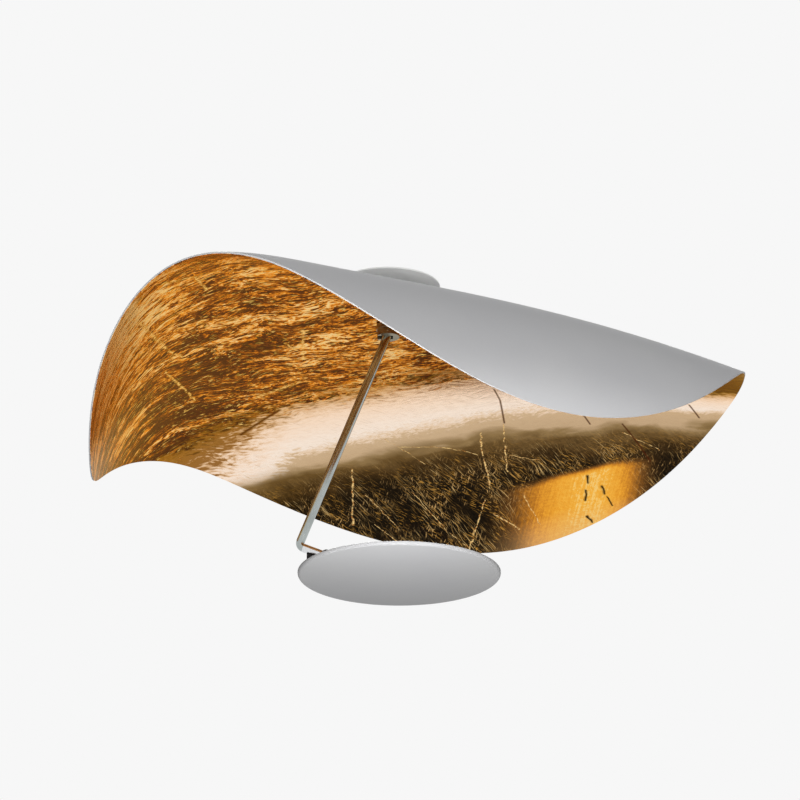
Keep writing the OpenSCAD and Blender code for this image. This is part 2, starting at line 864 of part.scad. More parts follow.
// Ring that clamps the diffuser's lip
module retaining_ring() {
    color([0.68, 0.68, 0.68])
        on_disc()
            difference() {
                rotate_extrude()
                    polygon([
                        [ring_in, frame_top + ring_h],
                        [ring_out - 0.8, frame_top + ring_h],
                        [ring_out, frame_top + ring_h - 0.8],
                        [ring_out, frame_top],
                        [opal_r + lip_w + slip_gap, frame_top],
                        [opal_r + lip_w + slip_gap, frame_top + lip_t + 0.05],
                        [ring_in, frame_top + lip_t + 0.05]
                    ]);
                around(4, ring_screw_r, 45)
                    cylinder(r = 0.75, h = frame_top + ring_h + 1, $fn = small_fn);
            }
}

// Four screws of the retaining ring
module ring_screws() {
    color("silver")
        on_disc()
            around(4, ring_screw_r, 45)
                translate([0, 0, frame_top + ring_h])
                    pan_screw(1.3, 0.6, 0.7, ring_h + frame_t);
}

// Rubber grommet where the lead goes into the disc
module cable_grommet() {
    color([0.1, 0.1, 0.1])
        on_disc()
            translate([lead_x, 0, 0])
                difference() {
                    union() {
                        translate([0, 0, frame_top - frame_t])
                            cylinder(r = lead_d / 2 + 0.55, h = frame_t + 0.8, $fn = small_fn);
                        translate([0, 0, frame_top])
                            cylinder(r = lead_d / 2 + 1, h = 0.8, $fn = small_fn);
                    }
                    cylinder(r = lead_d / 2 + 0.05, h = frame_top + 3, $fn = small_fn);
                }
}

// Lead from the arm into the disc, down through the grommet and along to the board
module disc_lead() {
    lead_r = lead_d / 2;
    lead_top = pin_z + lead_from_pin * sin(rod_lean) - under_arm - free_gap;
    color("white")
        on_disc()
            on_lead() {
                translate([0, 0, lead_z + lead_bend_r])
                    cylinder(r = lead_r, h = lead_top - lead_z - lead_bend_r, $fn = small_fn);
                translate([lead_bend_r, 0, lead_z + lead_bend_r])
                    rotate([90, 0, 0])
                        rotate([0, 0, 180])
                            rotate_extrude(angle = 90, $fn = small_fn)
                                translate([lead_bend_r, 0])
                                    circle(r = lead_r, $fn = small_fn);
                translate([lead_bend_r, 0, lead_z])
                    rotate([0, 90, 0])
                        cylinder(r = lead_r, h = lead_reach(board_r + free_gap) - lead_bend_r, $fn = small_fn);
            }
}

ceiling_strap();
rose_cover();
rose_nut();
stem();
spacer_sleeve();
shade_washer();
felt_washers();
shade_sheet();
leaf_lining();
shade_nut();
thrust_washer();
lock_ring();
stem_cable();
hub_cup();
hub_fork();
pivot_pins();
rod_tube();
elbow();
arm_tube();
arm_plug();
rod_cable();
tilt_bracket();
tilt_screw();
bracket_screws();
disc_dish();
disc_frame();
frame_screws();
led_board();
leds();
board_screws();
board_connector();
diffuser();
retaining_ring();
ring_screws();
cable_grommet();
disc_lead();
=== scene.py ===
# %% [markdown]
# # A leaf-shaped ceiling light
# The light is a round aluminium sheet, painted grey outside and lined with gold leaf inside.
# It hangs close under the ceiling on a short stem, and is rolled down into three drooping lobes.
# A thin rod leans out of a small hub under it and carries a flat disc, whose leds shine up into the gold.
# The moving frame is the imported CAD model. This script gives it its finishes, and builds
# again in finer mesh what the eye rests on.

import json
import math

import bmesh
import bpy
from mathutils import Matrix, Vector


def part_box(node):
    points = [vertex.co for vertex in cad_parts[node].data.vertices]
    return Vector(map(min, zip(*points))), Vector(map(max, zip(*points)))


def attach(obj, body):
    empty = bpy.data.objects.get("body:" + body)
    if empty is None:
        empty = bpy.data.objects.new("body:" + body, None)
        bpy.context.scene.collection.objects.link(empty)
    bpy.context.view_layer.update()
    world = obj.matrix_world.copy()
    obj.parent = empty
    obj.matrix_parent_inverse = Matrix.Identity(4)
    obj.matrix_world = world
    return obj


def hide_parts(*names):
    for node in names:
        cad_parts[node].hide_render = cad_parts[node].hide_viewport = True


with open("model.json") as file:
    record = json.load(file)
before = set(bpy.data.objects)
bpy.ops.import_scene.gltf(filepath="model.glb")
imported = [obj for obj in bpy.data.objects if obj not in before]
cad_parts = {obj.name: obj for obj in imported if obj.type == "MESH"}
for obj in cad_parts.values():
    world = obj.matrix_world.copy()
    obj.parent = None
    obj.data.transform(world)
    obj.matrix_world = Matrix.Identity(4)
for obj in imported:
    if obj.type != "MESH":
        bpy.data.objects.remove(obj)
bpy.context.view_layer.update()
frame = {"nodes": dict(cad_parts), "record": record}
nodes = frame["nodes"]
MM = 0.001

# %% [markdown]
# ## Colours and helpers for nodes
# Paint makers and photographs give colours in sRGB, but shaders count in linear light.
# One function turns a hex value into linear, so every colour below is written as it looks.
# One more function adds a node, sets it and links it. Shader trees and geometry trees use the same one.
# A node that is given as an input stands for its first output, which keeps the long chains readable.

# %% Colours and the node helpers
def colour(text):
    """An sRGB hex colour as linear RGBA."""
    parts = [int(text[i:i + 2], 16) / 255 for i in (1, 3, 5)]
    return [p / 12.92 if p <= 0.04045 else ((p + 0.055) / 1.055) ** 2.4 for p in parts] + [1.0]


def fill(tree, node, inputs):
    """Links or sets a node's inputs. A node as a value stands for its first output."""
    for key, value in inputs.items():
        if isinstance(value, bpy.types.Node):
            value = value.outputs[0]
        if isinstance(value, bpy.types.NodeSocket):
            tree.links.new(value, node.inputs[key])
        else:
            node.inputs[key].default_value = value


def add(tree, kind, inputs=None, stops=None, **settings):
    """Adds a node, sets its properties, fills a colour ramp, and links or sets its inputs."""
    node = tree.nodes.new(kind)
    for name, value in settings.items():
        setattr(node, name, value)
    for i, (place, shade) in enumerate(stops or []):
        band = node.color_ramp.elements
        point = band[i] if i < len(band) else band.new(place)
        point.position = place
        point.color = colour(shade)
    fill(tree, node, inputs or {})
    return node


def new_group(name, kind, inputs, output):
    """An empty node group: its tree, and the sockets that bring its named inputs in."""
    tree = bpy.data.node_groups.new(name, kind)
    for way, sockets in (("INPUT", inputs), ("OUTPUT", output)):
        for socket, sort in sockets.items():
            tree.interface.new_socket(socket, in_out=way, socket_type="NodeSocket" + sort)
    return tree, add(tree, "NodeGroupInput").outputs


def new_material(name):
    """A material, its tree, its principled shader, joined to the output, and the places on the object."""
    material = bpy.data.materials.new(name)
    material.use_nodes = True
    tree = material.node_tree
    tree.nodes.clear()
    shader = add(tree, "ShaderNodeBsdfPrincipled")
    add(tree, "ShaderNodeOutputMaterial", {"Surface": shader})
    return material, tree, shader, add(tree, "ShaderNodeTexCoord").outputs["Object"]


# %% [markdown]
# ## The camera
# The level rose and the level disc show as ellipses, and how flat they are gives the camera's pitch:
# it stands below the light and looks up by about 21 degrees, straight along +Y.
# Their widths give its distance. The lens is long, so the lobes keep their true proportions.

# %% The camera
PITCH = math.radians(20.9)
LENS_MM = 141.08
SENSOR_MM = 36
SIGHT = 60.0
CAMERA_PLACE = Vector((0.0099, -2.3832, -1.0095))

camera = bpy.data.objects.new("camera", bpy.data.cameras.new("camera"))
bpy.context.scene.collection.objects.link(camera)
camera.data.lens = LENS_MM
camera.data.sensor_width = SENSOR_MM
camera.data.clip_end = SIGHT
camera.location = CAMERA_PLACE
camera.rotation_euler = (math.pi / 2 + PITCH, 0, 0)
bpy.context.scene.camera = camera
print("camera", tuple(camera.location))

# %% [markdown]
# ## Floor, backdrop and light
# The photograph has an even, nearly white background. Here the world is that colour for rays that
# come from the camera or from a reflection, and a dimmer white for the light that it sheds, strongest
# from the sides. HORIZON is how far up or down the sides reach, as a share of straight up.
# The floor is a pale plane 4.5 m under the ceiling face, as in a hall, so that a camera can look up
# steeply. It and the world keep their colour in reflections too, so polished metal shows the backdrop.
# In the photograph the paint is dark at the top ridge and soon even below it: the light comes from
# the front, level with the shade, and a little from the right. Two softboxes do that. A small one under
# the light gives the disc's underside its fall of brightness, and one behind reaches the top and the back.

# %% Floor, backdrop and light
scene = bpy.context.scene
scene.view_settings.view_transform = "Standard"
BACKDROP = "#F7F7F7"
FROM_BELOW = 0.07
FROM_SIDES = 0.16
FROM_CEILING = 0.03
HORIZON = 0.3
ROOM_HEIGHT = 4.5
FLOOR_HALF = 7.0


def span(tree, value, start, end, low=0.0, high=1.0, soft=False):
    """Maps a value from start..end to low..high, and holds it outside that."""
    return add(tree, "ShaderNodeMapRange", {
        "Value": value, "From Min": start, "From Max": end, "To Min": low, "To Max": high,
    }, interpolation_type="SMOOTHSTEP" if soft else "LINEAR")


def looked_at(tree):
    """1 for rays from the camera, a reflection or a clear material, and 0 for those that gather light."""
    path = add(tree, "ShaderNodeLightPath").outputs
    seen = add(tree, "ShaderNodeMath", {0: path["Is Camera Ray"], 1: path["Is Glossy Ray"]},
               operation="MAXIMUM")
    return add(tree, "ShaderNodeMath", {0: seen, 1: path["Is Transmission Ray"]}, operation="MAXIMUM")


world = bpy.data.worlds.new("studio")
scene.world = world
world.use_nodes = True
tree = world.node_tree
tree.nodes.clear()
way = add(tree, "ShaderNodeTexCoord").outputs["Generated"]
up = add(tree, "ShaderNodeSeparateXYZ", {0: way}).outputs["Z"]
lower = span(tree, up, -1.0, -HORIZON, FROM_BELOW, FROM_SIDES)
level = span(tree, up, 0.0, HORIZON, lower, FROM_CEILING)
shed = add(tree, "ShaderNodeBackground", {"Color": colour("#FFFFFF"), "Strength": level})
backdrop = add(tree, "ShaderNodeBackground", {"Color": colour(BACKDROP), "Strength": 1.0})
both = add(tree, "ShaderNodeMixShader", {0: looked_at(tree), 1: shed, 2: backdrop})
add(tree, "ShaderNodeOutputWorld", {"Surface": both})

mesh = bpy.data.meshes.new("floor")
corners = [(x * FLOOR_HALF, y * FLOOR_HALF, -ROOM_HEIGHT) for x, y in ((-1, -1), (1, -1), (1, 1), (-1, 1))]
mesh.from_pydata(corners, [], [(0, 1, 2, 3)])
floor = bpy.data.objects.new("floor", mesh)
scene.collection.objects.link(floor)
material, tree, shader, _ = new_material("pale_floor")
fill(tree, shader, {"Base Color": colour("#F2F2F1"), "Roughness": 0.9})
glow = add(tree, "ShaderNodeEmission", {"Color": colour(BACKDROP), "Strength": 1.0})
both = add(tree, "ShaderNodeMixShader", {0: looked_at(tree), 1: shader, 2: glow})
fill(tree, tree.nodes["Material Output"], {"Surface": both})
mesh.materials.append(material)


def softbox(name, place, aim, size, power, mirrored=False):
    """A square soft area light that looks at a point, and shows in the polished metal only if mirrored."""
    light = bpy.data.lights.new(name, "AREA")
    light.size = size
    light.energy = power
    lamp = bpy.data.objects.new(name, light)
    lamp.location = place
    lamp.rotation_euler = (Vector(aim) - Vector(place)).to_track_quat("-Z", "Y").to_euler()
    lamp.visible_camera = False
    lamp.visible_glossy = mirrored
    scene.collection.objects.link(lamp)
    print(name, "at", place, "power", power)


SHADE_MIDDLE = (0.05, 0, -0.1)
DISC_MIDDLE = (0.01, -0.045, -0.25)
softbox("front_softbox", (0.05, -2.4, 0.0), SHADE_MIDDLE, 1.0, 26)
softbox("side_softbox", (1.1, -2.1, -0.95), SHADE_MIDDLE, 1.0, 17, mirrored=True)
softbox("back_softbox", (0.2, 2.4, 1.3), SHADE_MIDDLE, 1.5, 55)
softbox("low_softbox", (0.01, -0.26, -0.45), DISC_MIDDLE, 0.12, 1.7)

# %% [markdown]
# ## The shade: a rolled disc
# The real shade starts as a flat round blank. It is rolled down past four straight folds:
# left, front, back, and a slight one toward the right tip. Past a fold the slope grows smoothly with the
# distance along the metal, and a twist makes one end of a fold roll more than the other.
# It could be sculpted, but a rule that bends a flat disc gives the same smooth lobes, keeps the
# sheet's true lengths, and matches the solid in the frame. Geometry nodes hold that rule.

# %% The rule of one lobe
ROLL_STEPS = 12


def product(tree, first, *others):
    """Values times each other."""
    for other in others:
        first = add(tree, "ShaderNodeMath", {0: first, 1: other}, operation="MULTIPLY")
    return first


def weighed(tree, start, parts):
    """A sum of values times their weights. A weight of -1 takes a value away."""
    total = start
    for value, weight in parts:
        total = add(tree, "ShaderNodeMath", {0: value, 1: weight, 2: total}, operation="MULTIPLY_ADD")
    return total


def cosine_and_sine(tree, angle):
    """Both sides of a right triangle whose long side is 1."""
    return [add(tree, "ShaderNodeMath", {0: angle}, operation=kind) for kind in ("COSINE", "SINE")]


def build_lobe_group():
    """A node group: how far one lobe moves a flat point, in metres."""
    tree, given = new_group("lobe_shift", "GeometryNodeTree", {
        "Place": "Vector", "Direction": "Float", "Fold": "Float", "Roll": "Float", "Twist": "Float",
        "Blank radius": "Float"}, {"Shift": "Vector"})
    cosine, sine = cosine_and_sine(tree, given["Direction"])
    away = add(tree, "ShaderNodeCombineXYZ", {0: cosine, 1: sine})
    beside = add(tree, "ShaderNodeCombineXYZ", {0: product(tree, sine, -1.0), 1: cosine})
    reach, along = (add(tree, "ShaderNodeVectorMath", {0: given["Place"], 1: way},
                        operation="DOT_PRODUCT").outputs["Value"] for way in (away, beside))
    past = weighed(tree, reach, [(given["Fold"], -1.0)])
    past = add(tree, "ShaderNodeMath", {0: past, 1: 0.0}, operation="MAXIMUM")
    step = add(tree, "ShaderNodeMath", {0: past, 1: float(ROLL_STEPS)}, operation="DIVIDE")
    share = add(tree, "ShaderNodeMath", {0: along, 1: given["Blank radius"]}, operation="DIVIDE")
    turn = product(tree, weighed(tree, 1.0, [(share, given["Twist"])]), given["Roll"])

    start = add(tree, "GeometryNodeRepeatInput", {"Iterations": ROLL_STEPS})
    end = add(tree, "GeometryNodeRepeatOutput")
    start.pair_with_output(end)
    end.repeat_items.clear()
    for name in ("run", "fall", "count"):
        end.repeat_items.new("FLOAT", name)
    fill(tree, start, {"count": 0.5})
    arc = product(tree, start.outputs["count"], step)
    eased = span(tree, arc, 0.0, given["Blank radius"], soft=True)
    flat, drop = cosine_and_sine(tree, product(tree, eased, turn))
    for name, more in (("run", flat), ("fall", drop), ("count", 1.0)):
        fill(tree, end, {name: weighed(tree, more, [(start.outputs[name], 1.0)])})

    run = product(tree, weighed(tree, -float(ROLL_STEPS), [(end.outputs["run"], 1.0)]), step)
    level = add(tree, "ShaderNodeVectorMath", {0: away, "Scale": run}, operation="SCALE")
    down = add(tree, "ShaderNodeCombineXYZ", {2: product(tree, end.outputs["fall"], step, -1.0)})
    shift = add(tree, "ShaderNodeVectorMath", {0: level, 1: down}, operation="ADD")
    add(tree, "NodeGroupOutput", {"Shift": shift})
    return tree


lobe_group = build_lobe_group()
print("lobe rule:", len(lobe_group.nodes), "nodes")

# %% [markdown]
# The sheet itself is a polar grid of rings and sectors. The blank's middle lies behind the stem,
# so the rim's distance from the stem changes with direction. Each point keeps its flat place in an
# attribute named blank. The finishes read it, so that a pattern follows the metal round the lobes.
# LOBE_PARTS gives the unit of each number in LOBES: a fold's direction and roll are in degrees, and its
# distance from the stem is in millimetres.

# %% The rolled sheet
SECTORS = 288
RINGS = 72
BLANK_RADIUS = 300 * MM
BLANK_BACK = 68 * MM
HOLE_RADIUS = 5.3 * MM
SHADE_LEVEL = -31.5 * MM
SHEET_T = 1.2 * MM
LEAF_T = 0.3 * MM
LOBE_PARTS = {"direction": math.radians(1), "fold": MM, "roll": math.radians(1), "twist": 1.0}
LOBES = {
    "Left": (189, 80, 100, -0.27),
    "Front": (292, 26, 112, 0.5),
    "Back": (80, 112, 51, -0.76),
    "Tip": (342, 24, 15, 0.0),
}


def close_tree(tree, geometry, material):
    """Ends a geometry tree: a real mesh, smooth, in its material."""
    real = add(tree, "GeometryNodeRealizeInstances", {"Geometry": geometry})
    smooth = add(tree, "GeometryNodeSetShadeSmooth", {"Geometry": real, "Shade Smooth": True})
    finished = add(tree, "GeometryNodeSetMaterial", {"Geometry": smooth, "Material": material})
    add(tree, "NodeGroupOutput", {"Geometry": finished})


def build_sheet_tree():
    """A geometry tree: the rolled sheet as one smooth surface at a depth under its top face."""
    lengths = ["Blank radius", "Blank back", "Hole radius", "Level", "Depth"]
    lengths += [side + " " + part for side in LOBES for part in LOBE_PARTS]
    tree, given = new_group("rolled_sheet", "GeometryNodeTree", {
        "Sectors": "Int", "Rings": "Int", **dict.fromkeys(lengths, "Float"), "Material": "Material",
    }, {"Geometry": "Geometry"})
    rows, columns = (weighed(tree, 1.0, [(given[name], 1.0)]) for name in ("Rings", "Sectors"))
    grid = add(tree, "GeometryNodeMeshGrid", {"Size X": 1.0, "Size Y": 1.0, "Vertices X": rows,
                                              "Vertices Y": columns})
    place = add(tree, "GeometryNodeInputPosition")
    parts = add(tree, "ShaderNodeSeparateXYZ", {0: place}).outputs
    out, around = (weighed(tree, 0.5, [(parts[axis], 1.0)]) for axis in "XY")
    cosine, sine = cosine_and_sine(tree, product(tree, around, 2 * math.pi))
    lean, across = (product(tree, given["Blank back"], side) for side in (sine, cosine))
    square, across = (product(tree, side, side) for side in (given["Blank radius"], across))
    root = add(tree, "ShaderNodeMath", {0: weighed(tree, square, [(across, -1.0)])}, operation="SQRT")
    rim = weighed(tree, lean, [(root, 1.0)])
    radius = span(tree, out, 0.0, 1.0, given["Hole radius"], rim)
    x, y = (product(tree, radius, side) for side in (cosine, sine))
    flat = add(tree, "ShaderNodeCombineXYZ", {0: x, 1: y})
    kept = add(tree, "GeometryNodeStoreNamedAttribute", {"Geometry": grid, "Name": "blank", "Value": flat},
               data_type="FLOAT_VECTOR", domain="POINT")
    blank = add(tree, "GeometryNodeInputNamedAttribute", {"Name": "blank"}, data_type="FLOAT_VECTOR")
    start = add(tree, "ShaderNodeCombineXYZ", {2: given["Level"]})
    bent = add(tree, "ShaderNodeVectorMath", {0: blank, 1: start}, operation="ADD")
    for side in LOBES:
        links = {part.capitalize(): given[side + " " + part] for part in LOBE_PARTS}
        links |= {"Place": blank, "Blank radius": given["Blank radius"]}
        lobe = add(tree, "GeometryNodeGroup", links, node_tree=lobe_group)
        bent = add(tree, "ShaderNodeVectorMath", {0: bent, 1: lobe}, operation="ADD")
    rolled = add(tree, "GeometryNodeSetPosition", {"Geometry": kept, "Position": bent})
    closed = add(tree, "GeometryNodeMergeByDistance", {"Geometry": rolled, "Distance": 0.01 * MM})
    normal = add(tree, "GeometryNodeInputNormal")
    inward = product(tree, given["Depth"], -1.0)
    sunk = add(tree, "ShaderNodeVectorMath", {0: normal, "Scale": inward}, operation="SCALE")
    layer = add(tree, "GeometryNodeSetPosition", {"Geometry": closed, "Offset": sunk})
    close_tree(tree, layer, given["Material"])
    return tree


sheet_tree = build_sheet_tree()
CREASE_ANGLE = math.radians(35)


def made_by(tree, name, settings, thickness=None, rim_material=None, points=()):
    """Runs a geometry tree with named inputs, gives the result a wall if asked, and keeps a plain mesh."""
    seed = bpy.data.meshes.new(name + "_seed")
    seed.from_pydata(points, [], [])
    piece = bpy.data.objects.new(name, seed)
    scene.collection.objects.link(piece)
    modifier = piece.modifiers.new("tree", "NODES")
    modifier.node_group = tree
    for socket in tree.interface.items_tree:
        if socket.in_out == "INPUT" and socket.name in settings:
            modifier[socket.identifier] = settings[socket.name]
    if thickness:
        wall = piece.modifiers.new("wall", "SOLIDIFY")
        wall.thickness = thickness
        wall.offset = -1
        wall.use_even_offset = True
        wall.material_offset_rim = 1 if rim_material else 0
    ready = piece.evaluated_get(bpy.context.evaluated_depsgraph_get())
    mesh = bpy.data.meshes.new_from_object(ready)
    piece.modifiers.clear()
    piece.data = mesh
    mesh.name = name
    if rim_material:
        mesh.materials.append(rim_material)
    mesh.set_sharp_from_angle(angle=CREASE_ANGLE)
    print(name, len(mesh.vertices), "vertices", len(mesh.polygons), "faces")
    return piece


sheet_settings = {
    "Sectors": SECTORS, "Rings": RINGS, "Blank radius": BLANK_RADIUS, "Blank back": BLANK_BACK,
    "Hole radius": HOLE_RADIUS, "Level": SHADE_LEVEL, "Depth": 0.0}
for side, sizes in LOBES.items():
    for (part, unit), size in zip(LOBE_PARTS.items(), sizes):
        sheet_settings[side + " " + part] = size * unit

# %% [markdown]
# ## Satin grey paint on the outside
# The outside is sprayed with a satin polyester paint over aluminium. Sprayed paint isn't perfectly flat:
# it keeps a faint orange-peel ripple a few millimetres wide, which only shows as a softness in the gloss.
# The rim is cut after painting, so it shows a bright line of bare aluminium.

# %% Satin grey paint and the cut rim
def dress(tree, shader, tone, gloss, height, strength, depth, more):
    """Gives a shader its colour, roughness, relief (depth in millimetres) and some further values."""
    relief = add(tree, "ShaderNodeBump", {"Height": height, "Strength": strength, "Distance": depth * MM})
    fill(tree, shader, {"Base Color": tone, "Roughness": gloss, "Normal": relief, **more})


def satin_paint(name, tint, deeper, rough, ripple_mm=3.0, shine=0.18):
    """Sprayed satin paint: nearly even colour, faint mottling, orange peel in the gloss."""
    material, tree, shader, place = new_material(name)
    cloud = add(tree, "ShaderNodeTexNoise", {"Vector": place, "Scale": 1 / (90 * MM), "Detail": 3.0})
    speck = add(tree, "ShaderNodeTexNoise", {"Vector": place, "Scale": 1 / (1.1 * MM), "Detail": 2.0})
    # real specks are finer than this, but at about a millimetre they just show
    blend = weighed(tree, cloud, [(speck, 0.35)])
    tone = add(tree, "ShaderNodeValToRGB", {0: blend}, stops=[(0.42, deeper), (0.9, tint)])
    peel = add(tree, "ShaderNodeTexNoise", {"Vector": place, "Scale": 1 / (ripple_mm * MM), "Detail": 2.0})
    gloss = span(tree, cloud, 0.0, 1.0, rough - 0.04, rough + 0.05)
    dress(tree, shader, tone, gloss, peel, 0.12, 0.2, {"Specular IOR Level": shine})
    return material


def bare_aluminium(name, tint):
    """Cut aluminium: bright metal with fine saw marks across the edge."""
    material, tree, shader, place = new_material(name)
    marks = add(tree, "ShaderNodeTexNoise", {"Vector": place, "Scale": 1 / (1.8 * MM), "Detail": 4.0})
    tone = add(tree, "ShaderNodeValToRGB", {0: marks}, stops=[(0.3, "#E2E6EC"), (0.75, tint)])
    dress(tree, shader, tone, 0.35, marks, 0.2, 0.05, {"Metallic": 1.0})
    return material


shade_paint = satin_paint("satin_grey_paint", "#C9C9CA", "#C3C3C5", 0.42)
cut_edge = bare_aluminium("cut_aluminium_edge", "#F6F9FF")

# %% [markdown]
# ## Gold leaf on the inside
# The inside is laid by hand with gold-coloured leaf, toned with a brown glaze and lacquered.
# The leaf wrinkles as it is laid, and the glaze stays in the wrinkles: that gives short spiky streaks from
# bright gold to dark brown. A wide pale champagne band across the sheet is a painted reflection of bright
# light. Behind it an olive-brown zone with fine golden scratches is partly thick glaze and partly a painted
# dark reflection, and one amber spot by the back rim is a painted patch of warm reflected light. The large
# changes of brightness over the leaf are painted reflected light too. A painted picture could hold all
# this, but noise that follows a few rules stays sharp at any size. It is drawn on the flat blank, in
# millimetres.

# %% The flat place in millimetres
def flat_place(tree):
    """The flat place on the blank in millimetres, with x to the right and y to the back."""
    blank = add(tree, "ShaderNodeAttribute", attribute_name="blank").outputs["Vector"]
    return add(tree, "ShaderNodeVectorMath", {0: blank, "Scale": 1000.0}, operation="SCALE")


# %% [markdown]
# A seam or scratch is a thin line between two points of the blank. The group below measures how far a point
# is from such a segment, and gives 1 on the line and 0 away from it. A wide one is a soft patch.

# %% A line on the blank
def build_line_group():
    """A shader group: 1 on the line between two flat points, 0 at a width away from it."""
    tree, given = new_group("line_on_blank", "ShaderNodeTree", {
        "Place": "Vector", "From": "Vector", "To": "Vector", "Width": "Float"}, {"Mask": "Float"})
    gap, whole = (add(tree, "ShaderNodeVectorMath", {0: given[end], 1: given["From"]}, operation="SUBTRACT")
                  for end in ("Place", "To"))
    here, square = (add(tree, "ShaderNodeVectorMath", {0: way, 1: whole},
                        operation="DOT_PRODUCT").outputs["Value"] for way in (gap, whole))
    share = add(tree, "ShaderNodeMath", {0: here, 1: square}, operation="DIVIDE", use_clamp=True)
    foot = add(tree, "ShaderNodeVectorMath", {0: whole, "Scale": share}, operation="SCALE")
    off = add(tree, "ShaderNodeVectorMath", {0: gap, 1: foot}, operation="DISTANCE").outputs["Value"]
    mask = span(tree, off, 0.0, given["Width"], 1.0, 0.0, soft=True)
    add(tree, "NodeGroupOutput", {"Mask": mask})
    return tree


line_group = build_line_group()


def lines_on(tree, place, segments):
    """The strongest of several lines, each as two flat points and a width in millimetres."""
    lines = 0.0
    for first, last, width in segments:
        line = add(tree, "ShaderNodeGroup", {"Place": place, "From": (*first, 0), "To": (*last, 0),
                                             "Width": width}, node_tree=line_group)
        lines = add(tree, "ShaderNodeMath", {0: lines, 1: line}, operation="MAXIMUM")
    return lines


# %% [markdown]
# Most marks on the leaf have one direction: wrinkles, brush strokes and scratches. One helper turns and
# stretches a noise by real lengths in millimetres, and sharpens it into strokes with a value of 0 to 1.

# %% Strokes of a real length and width
def strokes(tree, place, turn, length, width, low=0.38, high=0.62, detail=3.0, bend=0.2):
    """Noise drawn out along one direction, turned by degrees, with sizes in millimetres."""
    turned = add(tree, "ShaderNodeMapping", {"Vector": place, "Rotation": (0, 0, math.radians(-turn)),
                                             "Location": (turn, length, 0)})
    drawn = add(tree, "ShaderNodeVectorMath", {0: turned, 1: (1 / length, 1 / width, 1.0)},
                operation="MULTIPLY")
    marks = add(tree, "ShaderNodeTexNoise", {
        "Vector": drawn, "Scale": 1.0, "Detail": detail, "Roughness": 0.6, "Distortion": bend})
    return span(tree, marks, low, high)


def drifted(tree, place, size, reach):
    """A place that wanders by up to about a third of a reach, over a size in millimetres."""
    drift = add(tree, "ShaderNodeTexNoise", {"Vector": place, "Scale": 1 / size, "Detail": 1.0})
    drift = add(tree, "ShaderNodeVectorMath", {0: drift.outputs["Color"], 1: (0.5, 0.5, 0.5)},
                operation="SUBTRACT")
    return add(tree, "ShaderNodeVectorMath", {0: drift, 1: (reach, reach, 0.0), 2: place},
               operation="MULTIPLY_ADD")


def crest(tree, value, level, width):
    """1 where a value passes a level, falling to 0 at a width on both sides: a winding line."""
    off = add(tree, "ShaderNodeMath", {0: weighed(tree, -level, [(value, 1.0)])}, operation="ABSOLUTE")
    return span(tree, off, 0.0, width, 1.0, 0.0)


def laid_over(tree, ground, *layers):
    """A ground colour under layers in their order, each as a share from 0 to 1 and a colour."""
    for share, over in layers:
        over = colour(over) if isinstance(over, str) else over
        ground = add(tree, "ShaderNodeMix", {0: share, 6: ground, 7: over}, data_type="RGBA").outputs[2]
    return ground


# %% [markdown]
# The places of the marks come next, as two flat points and a width each. The bright ones are laps
# where two leaves meet, or scratches down to clean leaf. The dark ones are tears that the glaze filled.
# The fine scratches of the thick glaze lie in five directions. Each row gives a turn in degrees, a
# length and a width in millimetres, how rare they are, and a colour.
# BAND_EDGE is the back edge of the painted reflection band, a cubic in x. The olive zone of glaze and
# painted dark reflection sets in along it, over GLAZE_EDGE.
# The wrinkles are laid at an angle of LAID degrees, and left of LEFT_RIM they turn ever more steeply down.

# %% Places of the seams, tears and patches
BAND_EDGE = (247.0, -0.47, 0.00075, -0.000001)
GLAZE_EDGE = (-12.0, 16.0)
LAID = -20
LEFT_RIM = -190.0
STEEPENING = -0.010
BRIGHT_LINES = [
    ((-206, -94), (-184, 20), 2.4), ((-184, 20), (-173, 46), 2.0), ((-190, 66), (-169, 162), 2.0),
    ((-174, -136), (-152, -125), 2.6), ((-152, -125), (-145, -92), 2.4), ((-116, 168), (-76, 130), 3.4),
    ((-70, 12), (-72, 79), 2.2), ((-86, 41), (-74, 63), 1.8), ((82, 219), (83, 240), 1.1),
    ((83, 240), (93, 286), 1.2), ((101, 205), (107, 264), 0.9), ((-32, 287), (-31, 357), 1.3),
    ((10, 250), (50, 244), 0.5), ((50, 244), (80, 249), 0.6), ((108, 246), (138, 246), 0.6),
    ((206, 199), (240, 212), 0.6), ((124, 288), (140, 313), 0.9), ((-3, 240), (33, 269), 0.5),
    ((20, 302), (54, 339), 0.6), ((54, 339), (83, 356), 0.6), ((-11, 351), (15, 367), 0.6),
    ((89, 299), (78, 353), 0.9), ((98, 312), (122, 322), 1.0), ((-20, 318), (12, 350), 0.6),
]
DARK_LINES = [
    ((-132, 246), (-96, 195), 3.0), ((91, 145), (97, 166), 1.3), ((97, 166), (102, 203), 1.5),
    ((171, 183), (177, 194), 1.4), ((260, 142), (270, 159), 1.5), ((205, 188), (232, 226), 1.4),
]
BLACK_SPECKS = [
    ((179, 256), (180, 262), 2.2), ((179, 271), (178, 280), 1.9), ((182, 296), (187, 300), 1.6),
    ((192, 264), (195, 270), 2.6), ((198, 273), (203, 280), 1.5),
]
SCRATCHES = [
    (36, 14, 1.3, 0.57, "#B98A44"), (48, 20, 1.2, 0.58, "#DDB878"), (18, 7, 1.3, 0.57, "#C48F3C"),
    (100, 7, 1.3, 0.58, "#C9A064"), (70, 30, 1.1, 0.61, "#A58048"),
]
# The first patch list below is painted highlights on the left lobe, the second painted shade, its last
# patch the hub's shadow by the stem.
PAINTED_LIGHT_PATCHES = [((-236, 152), (-206, 132), 30), ((-176, -130), (-150, -108), 18)]
PAINTED_SHADE_PATCHES = [((-160, 96), (-118, 52), 36), ((-192, 214), (-172, 160), 38), ((30, 110), (52, 66), 40)]
print(len(BRIGHT_LINES), "bright lines,", len(DARK_LINES), "dark ones")
